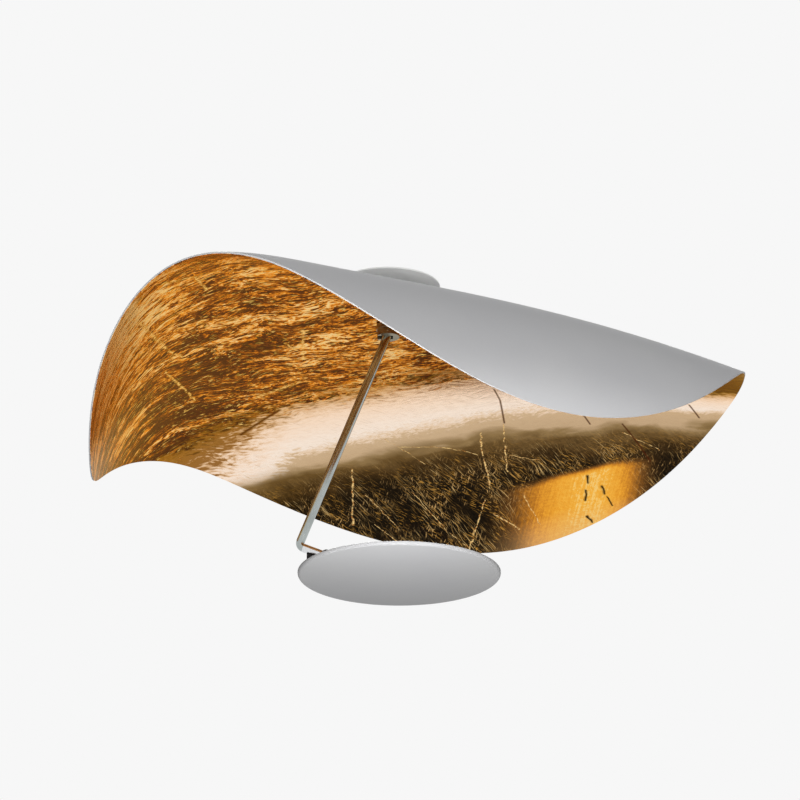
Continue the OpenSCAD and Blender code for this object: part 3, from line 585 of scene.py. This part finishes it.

# %% [markdown]
# The finish goes down in layers, much in the order in which a gilder works: the leaf with its wrinkles and
# brown glaze, the painted reflection band, the olive glaze and painted dark reflection behind it, the
# painted warm spot of light, and last the seams.
# Each layer is a function that returns its colour or its share.

# %% The wrinkled leaf
def wrinkled_leaf(tree, place, x, y):
    """Colour of the glazed leaf, its glints, and the wrinkles that the other layers share."""
    # toward the left rim the wrinkles turn steeply down, so y is bent there before the strokes are drawn
    left = weighed(tree, LEFT_RIM, [(x, -1.0)])
    left = add(tree, "ShaderNodeMath", {0: left, 1: 0.0}, operation="MAXIMUM")
    bent = add(tree, "ShaderNodeCombineXYZ", {1: product(tree, left, left, STEEPENING)})
    bent = add(tree, "ShaderNodeVectorMath", {0: place, 1: bent}, operation="ADD")
    flow = drifted(tree, bent, 40, 22.0)
    clump = strokes(tree, flow, LAID, 60, 24)
    broad = strokes(tree, flow, LAID, 26, 7)
    fine = strokes(tree, flow, LAID, 9, 3.6, 0.40, 0.60)
    grit = strokes(tree, flow, LAID - 8, 4.2, 2.3, 0.40, 0.60, detail=2.0)
    # a crest of the leaf catches the light as a bright line, with its shadow as a dark line beside it
    long_fold = strokes(tree, flow, LAID, 34, 11, 0.0, 1.0)
    short_fold = strokes(tree, flow, LAID + 5, 15, 6, 0.0, 1.0)
    lively = strokes(tree, flow, LAID, 70, 34, 0.44, 0.64, detail=1.0)
    steep = span(tree, x, -172.0, -215.0)
    ridge = product(tree, strokes(tree, flow, LAID, 55, 9, 0.42, 0.58), steep)
    crests = [(product(tree, crest(tree, long_fold, 0.50, 0.035), lively), 0.60),
              (crest(tree, long_fold, 0.42, 0.07), -0.40), (ridge, 0.50), (steep, -0.25),
              (crest(tree, short_fold, 0.50, 0.05), 0.34), (crest(tree, short_fold, 0.43, 0.06), -0.26)]
    # the leaf is darkest in a valley of the left lobe and lighter toward the rim, the stem and the front,
    # a fall of brightness that is painted reflected light
    start = span(tree, y, 175.0, -120.0, -0.31, -0.03)
    right = product(tree, span(tree, x, -165.0, -20.0, 0.0, 0.32), span(tree, y, 10.0, 100.0, 0.35, 1.0))
    rim = product(tree, span(tree, x, -160.0, -232.0, 0.0, 0.42), span(tree, y, 110.0, -110.0, 0.0, 1.8))
    # a few patches add a painted highlight or painted shade, one of them the hub's shadow
    painted_light = lines_on(tree, place, PAINTED_LIGHT_PATCHES)
    painted_shade = lines_on(tree, place, PAINTED_SHADE_PATCHES)
    tone = weighed(tree, start, [(right, 1.0), (rim, 1.0), (painted_light, 0.17), (painted_shade, -0.15), (clump, 0.30),
                                 (broad, 0.30), (product(tree, fine, lively), 0.46), (grit, 0.26)] + crests)
    leaf = add(tree, "ShaderNodeValToRGB", {0: tone}, stops=[
        (0.08, "#2A1109"), (0.28, "#5C2C17"), (0.46, "#A05628"), (0.58, "#D6803A"), (0.72, "#FCA34C"),
        (0.84, "#FFC470"), (1.0, "#FFE2A8")])
    glint = product(tree, strokes(tree, flow, LAID - 4, 8, 2.4, 0.57, 0.64),
                    strokes(tree, flow, LAID, 40, 16, 0.42, 0.58, detail=2.0))
    torn = product(tree, strokes(tree, flow, LAID + 4, 20, 3.4, 0.57, 0.65), 0.8)
    leaf = laid_over(tree, leaf, (glint, "#FFD98A"), (torn, "#2C1708"))
    return leaf, clump, broad, fine, grit


# %% The painted reflection band
def painted_reflection_band(tree, place, x, past, wrinkles):
    """Colour of the pale band, a painted reflection of bright light, and how much of it covers the leaf."""
    clump, broad, fine, grit = wrinkles
    inner = product(tree, past, span(tree, x, 190.0, 265.0, 1.0, 2.8))
    share = weighed(tree, span(tree, inner, -146.0, -56.0), [(broad, 0.22), (fine, 0.30), (clump, 0.26)])
    share = span(tree, share, 0.55, 1.10, soft=True)
    tone = weighed(tree, span(tree, inner, -112.0, 0.0), [(grit, 0.05), (broad, 0.04), (fine, 0.05)])
    # toward the left lobe the band is darker, and wrinkles break it up
    broken = weighed(tree, -0.5, [(broad, 0.5), (fine, 0.5)])
    broken = product(tree, span(tree, x, -70.0, -150.0), broken)
    tone = weighed(tree, tone, [(span(tree, x, -85.0, -200.0), -0.90), (broken, 0.7)])
    pale = add(tree, "ShaderNodeValToRGB", {0: tone}, stops=[
        (0.0, "#9A6C40"), (0.16, "#D9B187"), (0.36, "#F8DCC2"), (0.5, "#FFE8D4"), (0.84, "#FFF0E2"),
        (0.95, "#EED3B6"), (1.0, "#D3B692")])
    hair = product(tree, strokes(tree, place, 28, 17, 1.2, 0.63, 0.70, detail=2.0), 0.4)
    return laid_over(tree, pale, (hair, "#B28A60")), share


# %% The olive glaze and painted dark reflection
def olive_glaze_and_dark_reflection(tree, place, x, y, past, wrinkles):
    """Colour of the zone behind the band: thick glaze and a painted dark reflection, rubbed through in
    strokes of several directions.
    """
    clump, _, _, grit = wrinkles
    flow = drifted(tree, place, 30, 9.0)
    # beside the middle the zone is darkest
    darkest_middle = product(tree, span(tree, x, -62.0, -8.0, soft=True), span(tree, x, 48.0, 12.0, soft=True),
                   span(tree, y, 278.0, 306.0))
    deep = weighed(tree, span(tree, past, 0.0, 74.0, -0.10, 0.90), [
        (clump, 0.16), (span(tree, x, 30.0, 150.0), -0.10), (darkest_middle, 0.30)])
    glaze = add(tree, "ShaderNodeValToRGB", {0: deep}, stops=[
        (0.0, "#C9AB86"), (0.12, "#94784F"), (0.28, "#6A502C"), (0.5, "#402C13"), (0.74, "#211608"),
        (1.0, "#160E05")])
    depth = product(tree, span(tree, past, 14.0, 62.0), weighed(tree, 1.0, [(darkest_middle, -0.45)]))
    brushed = strokes(tree, flow, 52, 12, 2.2)
    rubbed = span(tree, weighed(tree, 0.0, [(brushed, 0.5), (grit, 0.5)]), 0.0, 1.0, 0.30, 1.75)
    rubbed = add(tree, "ShaderNodeMix", {0: depth, 2: 1.0, 3: rubbed}, data_type="FLOAT")
    glaze = add(tree, "ShaderNodeVectorMath", {0: glaze, "Scale": rubbed}, operation="SCALE")
    for turn, length, width, low, tint in SCRATCHES:
        hair = strokes(tree, flow, turn, length, width, low, low + 0.08)
        patch = strokes(tree, place, turn, 38, 28, 0.45, 0.58, detail=1.0)
        glaze = laid_over(tree, glaze, (product(tree, hair, patch, depth), tint))
    return glaze, brushed


# %% The painted warm glow
def painted_warm_glow(tree, place, x, y, grit, brushed):
    """Colour and share of a painted patch of warm reflected light, which fades to the left and right, has
    fine upright lines, and turns paler toward the back rim.
    """
    edge = weighed(tree, y, [(x, 0.5)])
    spot = product(tree, span(tree, edge, 333.0, 346.0, soft=True), span(tree, x, 82.0, 180.0, soft=True),
                   span(tree, x, 250.0, 186.0, soft=True))
    upright = strokes(tree, place, -81, 30, 1.8)
    tone = weighed(tree, -0.12, [(spot, 0.92), (upright, 0.13), (grit, 0.10), (brushed, 0.06)])
    glow = add(tree, "ShaderNodeValToRGB", {0: tone}, stops=[
        (0.0, "#5E3F1C"), (0.28, "#96612A"), (0.50, "#CC8228"), (0.72, "#F2A532"), (0.92, "#FDB944"),
        (1.0, "#FFD075")])
    far = product(tree, span(tree, edge, 376.0, 412.0), 0.55)
    return laid_over(tree, glow, (far, "#E9BE86")), span(tree, spot, 0.0, 0.6)


# %% The whole lining
def gold_leaf():
    """Hand-laid leaf with brown glaze and clear lacquer, with painted reflections and shade, patterned on
    the flat blank.
    """
    material, tree, shader, _ = new_material("glazed_gold_leaf")
    place = flat_place(tree)
    xy = add(tree, "ShaderNodeSeparateXYZ", {0: drifted(tree, place, 70, 14.0)}).outputs
    x, y = xy["X"], xy["Y"]
    leaf, *wrinkles = wrinkled_leaf(tree, place, x, y)
    _, broad, fine, grit = wrinkles

    # distance past the painted reflection band's back edge
    bend = BAND_EDGE[-1]
    for term in BAND_EDGE[-2::-1]:
        bend = add(tree, "ShaderNodeMath", {0: bend, 1: x, 2: term}, operation="MULTIPLY_ADD")
    past = weighed(tree, y, [(bend, -1.0)])

    # in front of the band the right tip turns grey-brown, and its corner dark brown
    tip = product(tree, span(tree, x, 205.0, 245.0, soft=True), 0.8)
    corner = product(tree, span(tree, x, 248.0, 275.0), span(tree, y, 150.0, 112.0), 0.9)
    pale, covers = painted_reflection_band(tree, place, x, past, wrinkles)
    glaze, brushed = olive_glaze_and_dark_reflection(tree, place, x, y, past, wrinkles)
    glazed = span(tree, past, *GLAZE_EDGE, soft=True)
    glow, glowing = painted_warm_glow(tree, place, x, y, grit, brushed)

    # laps and specks have ragged edges, and the laps are worn away in places
    ragged = drifted(tree, place, 7, 4.5)
    ragged = add(tree, "ShaderNodeVectorMath", {0: ragged, 1: (1.0, 1.0, 0.0)}, operation="MULTIPLY")
    worn = strokes(tree, place, 30, 7, 5, 0.36, 0.50)
    bright = product(tree, lines_on(tree, ragged, BRIGHT_LINES), worn)
    lap = add(tree, "ShaderNodeValToRGB", {0: grit}, stops=[(0.1, "#A8692A"), (0.6, "#FFD890")])
    torn = product(tree, lines_on(tree, place, DARK_LINES), 0.95)
    specks = lines_on(tree, ragged, BLACK_SPECKS)
    ground = laid_over(tree, leaf, (tip, "#8A7256"), (corner, "#4E3418"), (covers, pale), (glazed, glaze),
                       (glowing, glow), (bright, lap), (torn, "#4A1E06"), (specks, "#140A03"))

    gloss = weighed(tree, 0.34, [(fine, -0.10), (covers, -0.10)])
    height = weighed(tree, 0.0, [(broad, 0.5), (fine, 0.4), (grit, 0.15)])
    # the coat is the lacquer, which lays a faint white sheen over the brown shadows
    dress(tree, shader, ground, gloss, height, 0.3, 0.25, {
        "Metallic": 1.0, "Specular Tint": colour("#F8CC86"), "Coat Weight": 0.07, "Coat Roughness": 0.25})
    return material


leaf_material = gold_leaf()
print("gold leaf:", len(leaf_material.node_tree.nodes), "nodes")

# %% [markdown]
# The sheet gets its 1.2 mm wall inward from the painted face, and the lining lies against its underside.

# %% The painted sheet and the gold lining
sheet_settings["Material"] = shade_paint
sheet = made_by(sheet_tree, "painted_sheet", sheet_settings, thickness=SHEET_T, rim_material=cut_edge)
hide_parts("shade_sheet")
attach(sheet, "ceiling")

sheet_settings["Material"] = leaf_material
sheet_settings["Depth"] = SHEET_T
lining = made_by(sheet_tree, "gold_lining", sheet_settings, thickness=LEAF_T)
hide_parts("leaf_lining")
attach(lining, "ceiling")

# %% [markdown]
# ## Metals, plastics and the rest
# The hub is satin nickel, the rod and arm are polished tube, and the bracket is black. Polished metal shows
# little colour of its own: the rod looks olive because it mirrors the gold over it.

# %% Metals
def turned_metal(name, tint, deeper, rough, grain_mm, stretch=(1.0, 1.0, 1.0), strength=0.15):
    """Metal with fine tool or polishing marks. The stretch draws them out along one axis."""
    material, tree, shader, place = new_material(name)
    drawn = add(tree, "ShaderNodeVectorMath", {0: place, 1: stretch}, operation="MULTIPLY")
    marks = add(tree, "ShaderNodeTexNoise", {"Vector": drawn, "Scale": 1 / (grain_mm * MM), "Detail": 4.0})
    cloud = add(tree, "ShaderNodeTexNoise", {"Vector": place, "Scale": 1 / (14 * MM), "Detail": 3.0})
    blend = product(tree, marks, cloud)
    tone = add(tree, "ShaderNodeValToRGB", {0: blend}, stops=[(0.12, deeper), (0.38, tint)])
    gloss = span(tree, marks, 0.3, 0.7, rough * 0.8, rough * 1.25)
    dress(tree, shader, tone, gloss, marks, strength, 0.04, {"Metallic": 1.0})
    return material


LONG = (1.0, 1.0, 0.05)
finishes = {
    # "steel" is on the screws, nuts and pins, "strap_steel" on the ceiling strap
    "hub_nickel": turned_metal("satin_nickel", "#A39B86", "#857D69", 0.36, 0.5, (1.0, 1.0, 4.0)),
    "rod_chrome": turned_metal("polished_nickel_tube", "#B4BAB8", "#A0A6A4", 0.14, 0.6, LONG),
    "arm_chrome": turned_metal("polished_chrome_tube", "#E6E7E8", "#D2D3D5", 0.08, 0.6, LONG),
    "steel": turned_metal("nickel_plated_steel", "#CDCCC8", "#B0AFAB", 0.28, 0.7),
    "strap_steel": turned_metal("zinc_plated_steel", "#BFC2C4", "#93989C", 0.38, 2.5),
    "black_metal": satin_paint("black_satin_paint", "#211F1F", "#171616", 0.4, 1.2),
    "rose_paint": satin_paint("light_grey_powder_coat", "#F2F2F0", "#ECECEA", 0.40, 1.6, 1.0),
    "washer_paint": satin_paint("grey_washer_paint", "#C2C2C1", "#BBBBBA", 0.42, 1.6),
    "disc_paint": satin_paint("satin_grey_disc_paint", "#989898", "#919193", 0.42, 2.0, 0.2),
}


# %% Plastics, felt and rubber
def moulded(name, tint, deeper, rough, grain_mm, ior=1.49, through=0.0):
    """Moulded plastic or rubber: a fine matt grain and faint flow clouds."""
    material, tree, shader, place = new_material(name)
    grain = add(tree, "ShaderNodeTexNoise", {"Vector": place, "Scale": 1 / (grain_mm * MM), "Detail": 3.0})
    cloud = add(tree, "ShaderNodeTexNoise", {"Vector": place, "Scale": 1 / (20 * MM), "Detail": 2.0})
    tone = add(tree, "ShaderNodeValToRGB", {0: cloud}, stops=[(0.3, deeper), (0.7, tint)])
    gloss = span(tree, grain, 0.0, 1.0, rough - 0.06, rough + 0.08)
    dress(tree, shader, tone, gloss, grain, 0.15, 0.05, {
        "IOR": ior, "Subsurface Weight": through, "Subsurface Radius": (2 * MM, 2 * MM, 2 * MM)})
    return material


finishes.update({
    "opal": moulded("opal_acrylic", "#F4F2EA", "#EEECE3", 0.3, 0.5, 1.49, 0.25),
    "board_white": moulded("white_solder_mask", "#EDEDEA", "#E2E2DE", 0.34, 0.4, 1.5),
    "led_yellow": moulded("led_phosphor", "#EFCB52", "#E0B23C", 0.4, 0.2, 1.5),
    "nylon": moulded("natural_nylon", "#E9E4D6", "#DED8C8", 0.5, 0.4, 1.53),
    "cable_white": moulded("white_cable_sheath", "#E4E4E0", "#D8D8D3", 0.5, 0.3, 1.53),
    "rubber_black": moulded("black_rubber", "#1C1C1C", "#141414", 0.62, 0.3, 1.52),
    "felt": moulded("pressed_grey_felt", "#4A4A4A", "#3A3A3A", 0.9, 0.25, 1.45),
})

SHEETS = ("shade_sheet", "leaf_lining")
slot_of = {part["node"]: part["material_slot"] for part in frame["record"]["subparts"]}
for name, piece in nodes.items():
    if name not in SHEETS:
        piece.data.materials.clear()
        piece.data.materials.append(finishes[slot_of[name]])
print("finished", len(nodes) - len(SHEETS), "CAD nodes")

# %% [markdown]
# ## Screws
# The disc is held together by small pan-head screws with a cross recess. They are all one shape in a few
# sizes, so one geometry tree makes a screw and puts a copy at every point that it is given.
# The head is a cylinder of several steps whose radius shrinks toward the top by the rule of a circle,
# and two bars cut the cross out of it. The places are measured on the CAD screws, whose solids are found
# one by one. HEAD_DOME is how much the head narrows, RECESS gives a bar's length and width as shares of
# the head's radius, and SCREWS gives each kind's head height and shank radius in millimetres.

# %% Finding the solids of a node
SAME_PLACE = 0.001 * MM


def merged(mesh):
    """A mesh whose loose triangles are joined where their corners meet, ready for editing."""
    shell = bmesh.new()
    shell.from_mesh(mesh)
    bmesh.ops.remove_doubles(shell, verts=shell.verts, dist=SAME_PLACE)
    return shell


def solids_of(name):
    """The lowest and highest corner of each separate solid of a CAD node."""
    shell = merged(nodes[name].data)
    left, found = set(shell.verts), []
    while left:
        waiting, solid = [left.pop()], []
        while waiting:
            vertex = waiting.pop()
            solid.append(vertex.co.copy())
            for edge in vertex.link_edges:
                other = edge.other_vert(vertex)
                if other in left:
                    left.discard(other)
                    waiting.append(other)
        found.append([[pick(corner[i] for corner in solid) for i in range(3)] for pick in (min, max)])
    shell.free()
    return sorted(found)


# %% The screw tree
HEAD_DOME = 0.45
HEAD_SIDES = 24
SHANK_SIDES = 16
RECESS = (1.1, 0.26)


def raised(tree, piece, height):
    """A mesh moved up by a height."""
    up = add(tree, "ShaderNodeCombineXYZ", {2: height})
    return add(tree, "GeometryNodeTransform", {"Geometry": piece, "Translation": up})


def build_screw_tree():
    """A geometry tree: a pan-head screw with a cross recess at each point, which is its seat."""
    tree, given = new_group("pan_head_screws", "GeometryNodeTree", {
        "Geometry": "Geometry", "Head radius": "Float", "Head height": "Float", "Shank radius": "Float",
        "Shank length": "Float", "Material": "Material"}, {"Geometry": "Geometry"})
    blank = add(tree, "GeometryNodeMeshCylinder", {
        "Vertices": HEAD_SIDES, "Side Segments": 4, "Radius": given["Head radius"],
        "Depth": given["Head height"]})
    place = add(tree, "ShaderNodeSeparateXYZ", {0: add(tree, "GeometryNodeInputPosition")}).outputs
    # a new cylinder has its middle at the origin, so half is added to make its foot the start
    rise = add(tree, "ShaderNodeMath", {0: place["Z"], 1: given["Head height"]}, operation="DIVIDE")
    rise = weighed(tree, 0.5, [(rise, 1.0)])
    dome = weighed(tree, 1.0, [(product(tree, rise, rise), -HEAD_DOME)])
    dome = add(tree, "ShaderNodeMath", {0: dome}, operation="SQRT")
    domed = add(tree, "ShaderNodeCombineXYZ", {0: product(tree, place["X"], dome),
                                               1: product(tree, place["Y"], dome),
                                               2: product(tree, rise, given["Head height"])})
    head = add(tree, "GeometryNodeSetPosition", {"Geometry": blank, "Position": domed})
    cut = add(tree, "GeometryNodeMeshBoolean", {0: head}, operation="DIFFERENCE")
    for shares in (RECESS, RECESS[::-1]):
        sides = [product(tree, given["Head radius"], share) for share in shares]
        size = add(tree, "ShaderNodeCombineXYZ", {0: sides[0], 1: sides[1], 2: given["Head height"]})
        bar = raised(tree, add(tree, "GeometryNodeMeshCube", {"Size": size}), given["Head height"])
        fill(tree, cut, {1: bar})
    shank = add(tree, "GeometryNodeMeshCylinder", {
        "Vertices": SHANK_SIDES, "Radius": given["Shank radius"], "Depth": given["Shank length"]})
    shank = raised(tree, shank, product(tree, given["Shank length"], -0.5))
    screw = add(tree, "GeometryNodeJoinGeometry", {0: cut})
    fill(tree, screw, {0: shank})
    copies = add(tree, "GeometryNodeInstanceOnPoints", {"Points": given["Geometry"], "Instance": screw})
    close_tree(tree, copies, given["Material"])
    return tree


def stands_for(piece, name):
    """Lets a piece take the place of a CAD node, on its body."""
    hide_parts(name)
    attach(piece, body_of[name])


# %% The screws
SCREWS = {"frame_screws": (0.9, 0.85), "ring_screws": (0.6, 0.7), "bracket_screws": (1.2, 1.2),
          "board_screws": (0.8, 1.0)}
body_of = {name: body for body, names in frame["record"]["behaviour"]["bodies"].items() for name in names}
screw_tree = build_screw_tree()
for name, (head_height, shank_radius) in SCREWS.items():
    solids = solids_of(name)
    low, high = solids[0]
    head_height *= MM
    seats = [((a[0] + b[0]) / 2, (a[1] + b[1]) / 2, b[2] - head_height) for a, b in solids]
    settings = {"Head radius": (high[0] - low[0]) / 2, "Head height": head_height,
                "Shank radius": shank_radius * MM, "Shank length": high[2] - low[2] - head_height,
                "Material": finishes[slot_of[name]]}
    stands_for(made_by(screw_tree, "fine_" + name, settings, points=seats), name)

# %% [markdown]
# ## Leds
# An led is a small white case with a yellow pad of phosphor on it. The tree puts one at each point,
# and turns each to face the middle of the disc, as the ring on the board does. The case is most of its
# height, and the pad a round on its middle: both are shares of the led's height and side.

# %% The led tree
LED_SIDE = 2.8 * MM
CASE_SHARE = 0.8
PAD_SHARE = 0.4
PAD_SIDES = 20


def build_led_tree():
    """A geometry tree: an led at each point of the mesh, turned with the ring."""
    tree, given = new_group("ring_of_leds", "GeometryNodeTree", {
        "Geometry": "Geometry", "Centre": "Vector", "Side": "Float", "Height": "Float",
        "Case": "Material", "Phosphor": "Material"}, {"Geometry": "Geometry"})
    case_height = product(tree, given["Height"], CASE_SHARE)
    size = add(tree, "ShaderNodeCombineXYZ", {0: given["Side"], 1: given["Side"], 2: case_height})
    case = add(tree, "GeometryNodeMeshCube", {"Size": size})
    pad = add(tree, "GeometryNodeMeshCylinder", {
        "Vertices": PAD_SIDES, "Radius": product(tree, given["Side"], PAD_SHARE), "Depth": given["Height"]})
    led = add(tree, "GeometryNodeJoinGeometry")
    for form, height, material in ((case, case_height, "Case"), (pad, given["Height"], "Phosphor")):
        form = raised(tree, form, product(tree, height, 0.5))
        form = add(tree, "GeometryNodeSetMaterial", {"Geometry": form, "Material": given[material]})
        fill(tree, led, {0: form})
    way = add(tree, "ShaderNodeVectorMath", {0: add(tree, "GeometryNodeInputPosition"), 1: given["Centre"]},
              operation="SUBTRACT")
    way = add(tree, "ShaderNodeSeparateXYZ", {0: way}).outputs
    turn = add(tree, "ShaderNodeMath", {0: way["Y"], 1: way["X"]}, operation="ARCTAN2")
    turn = add(tree, "ShaderNodeCombineXYZ", {2: turn})
    copies = add(tree, "GeometryNodeInstanceOnPoints", {"Points": given["Geometry"], "Instance": led,
                                                        "Rotation": turn})
    real = add(tree, "GeometryNodeRealizeInstances", {"Geometry": copies})
    add(tree, "NodeGroupOutput", {"Geometry": real})
    return tree


# %% The two rings of leds
solids = solids_of("leds")
centres = [((a[0] + b[0]) / 2, (a[1] + b[1]) / 2, a[2]) for a, b in solids]
low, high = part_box("led_board")
settings = {"Centre": [(low[i] + high[i]) / 2 for i in range(3)], "Side": LED_SIDE,
            "Height": solids[0][1][2] - solids[0][0][2], "Case": finishes["board_white"],
            "Phosphor": finishes["led_yellow"]}
stands_for(made_by(build_led_tree(), "fine_leds", settings, points=centres), "leds")

# %% [markdown]
# ## The turned and bent metal parts
# The CAD meshes are loose flat triangles, so a round tube shows its facets. A copy of each node is
# merged and shaded smooth up to a corner angle. Cut sheet and turned parts also get their sharp
# edges softened by a small bevel, as a deburring wheel leaves them, which draws a thin line of light there.
# SOFT_EDGES gives the bevels' widths in millimetres.

# %% Merged, smooth and bevelled copies
SOFT_EDGES = {
    "rose_nut": 0.25, "spacer_sleeve": 0.3, "shade_washer": 0.3, "hub_cup": 0.3, "tilt_bracket": 0.3,
    "retaining_ring": 0.25, "ceiling_strap": 0.2, "diffuser": 0.4, "shade_nut": 0.25, "arm_plug": 0.2}
FLAT_ANGLE = math.radians(0.5)
CORNER_ANGLE = math.radians(30)


def fine_copy(name, bevel_mm=0.0):
    """A merged, smooth-shaded copy of a CAD node that stands for it."""
    mesh = nodes[name].data.copy()
    shell = merged(mesh)
    if bevel_mm:
        bmesh.ops.dissolve_limit(shell, angle_limit=FLAT_ANGLE, verts=shell.verts, edges=shell.edges)
    shell.to_mesh(mesh)
    shell.free()
    mesh.name = "fine_" + name
    mesh.shade_smooth()
    mesh.set_sharp_from_angle(angle=CORNER_ANGLE)
    piece = bpy.data.objects.new("fine_" + name, mesh)
    scene.collection.objects.link(piece)
    if bevel_mm:
        edge = piece.modifiers.new("soft_edges", "BEVEL")
        edge.width = bevel_mm * MM
        edge.segments = 2
        edge.limit_method = "ANGLE"
        edge.angle_limit = CORNER_ANGLE
        edge.harden_normals = True
    stands_for(piece, name)
    return len(mesh.polygons)


remade = {*SHEETS, *SCREWS, "leds"}
for name in nodes:
    if name not in remade:
        print(name, fine_copy(name, SOFT_EDGES.get(name, 0.0)), "faces")
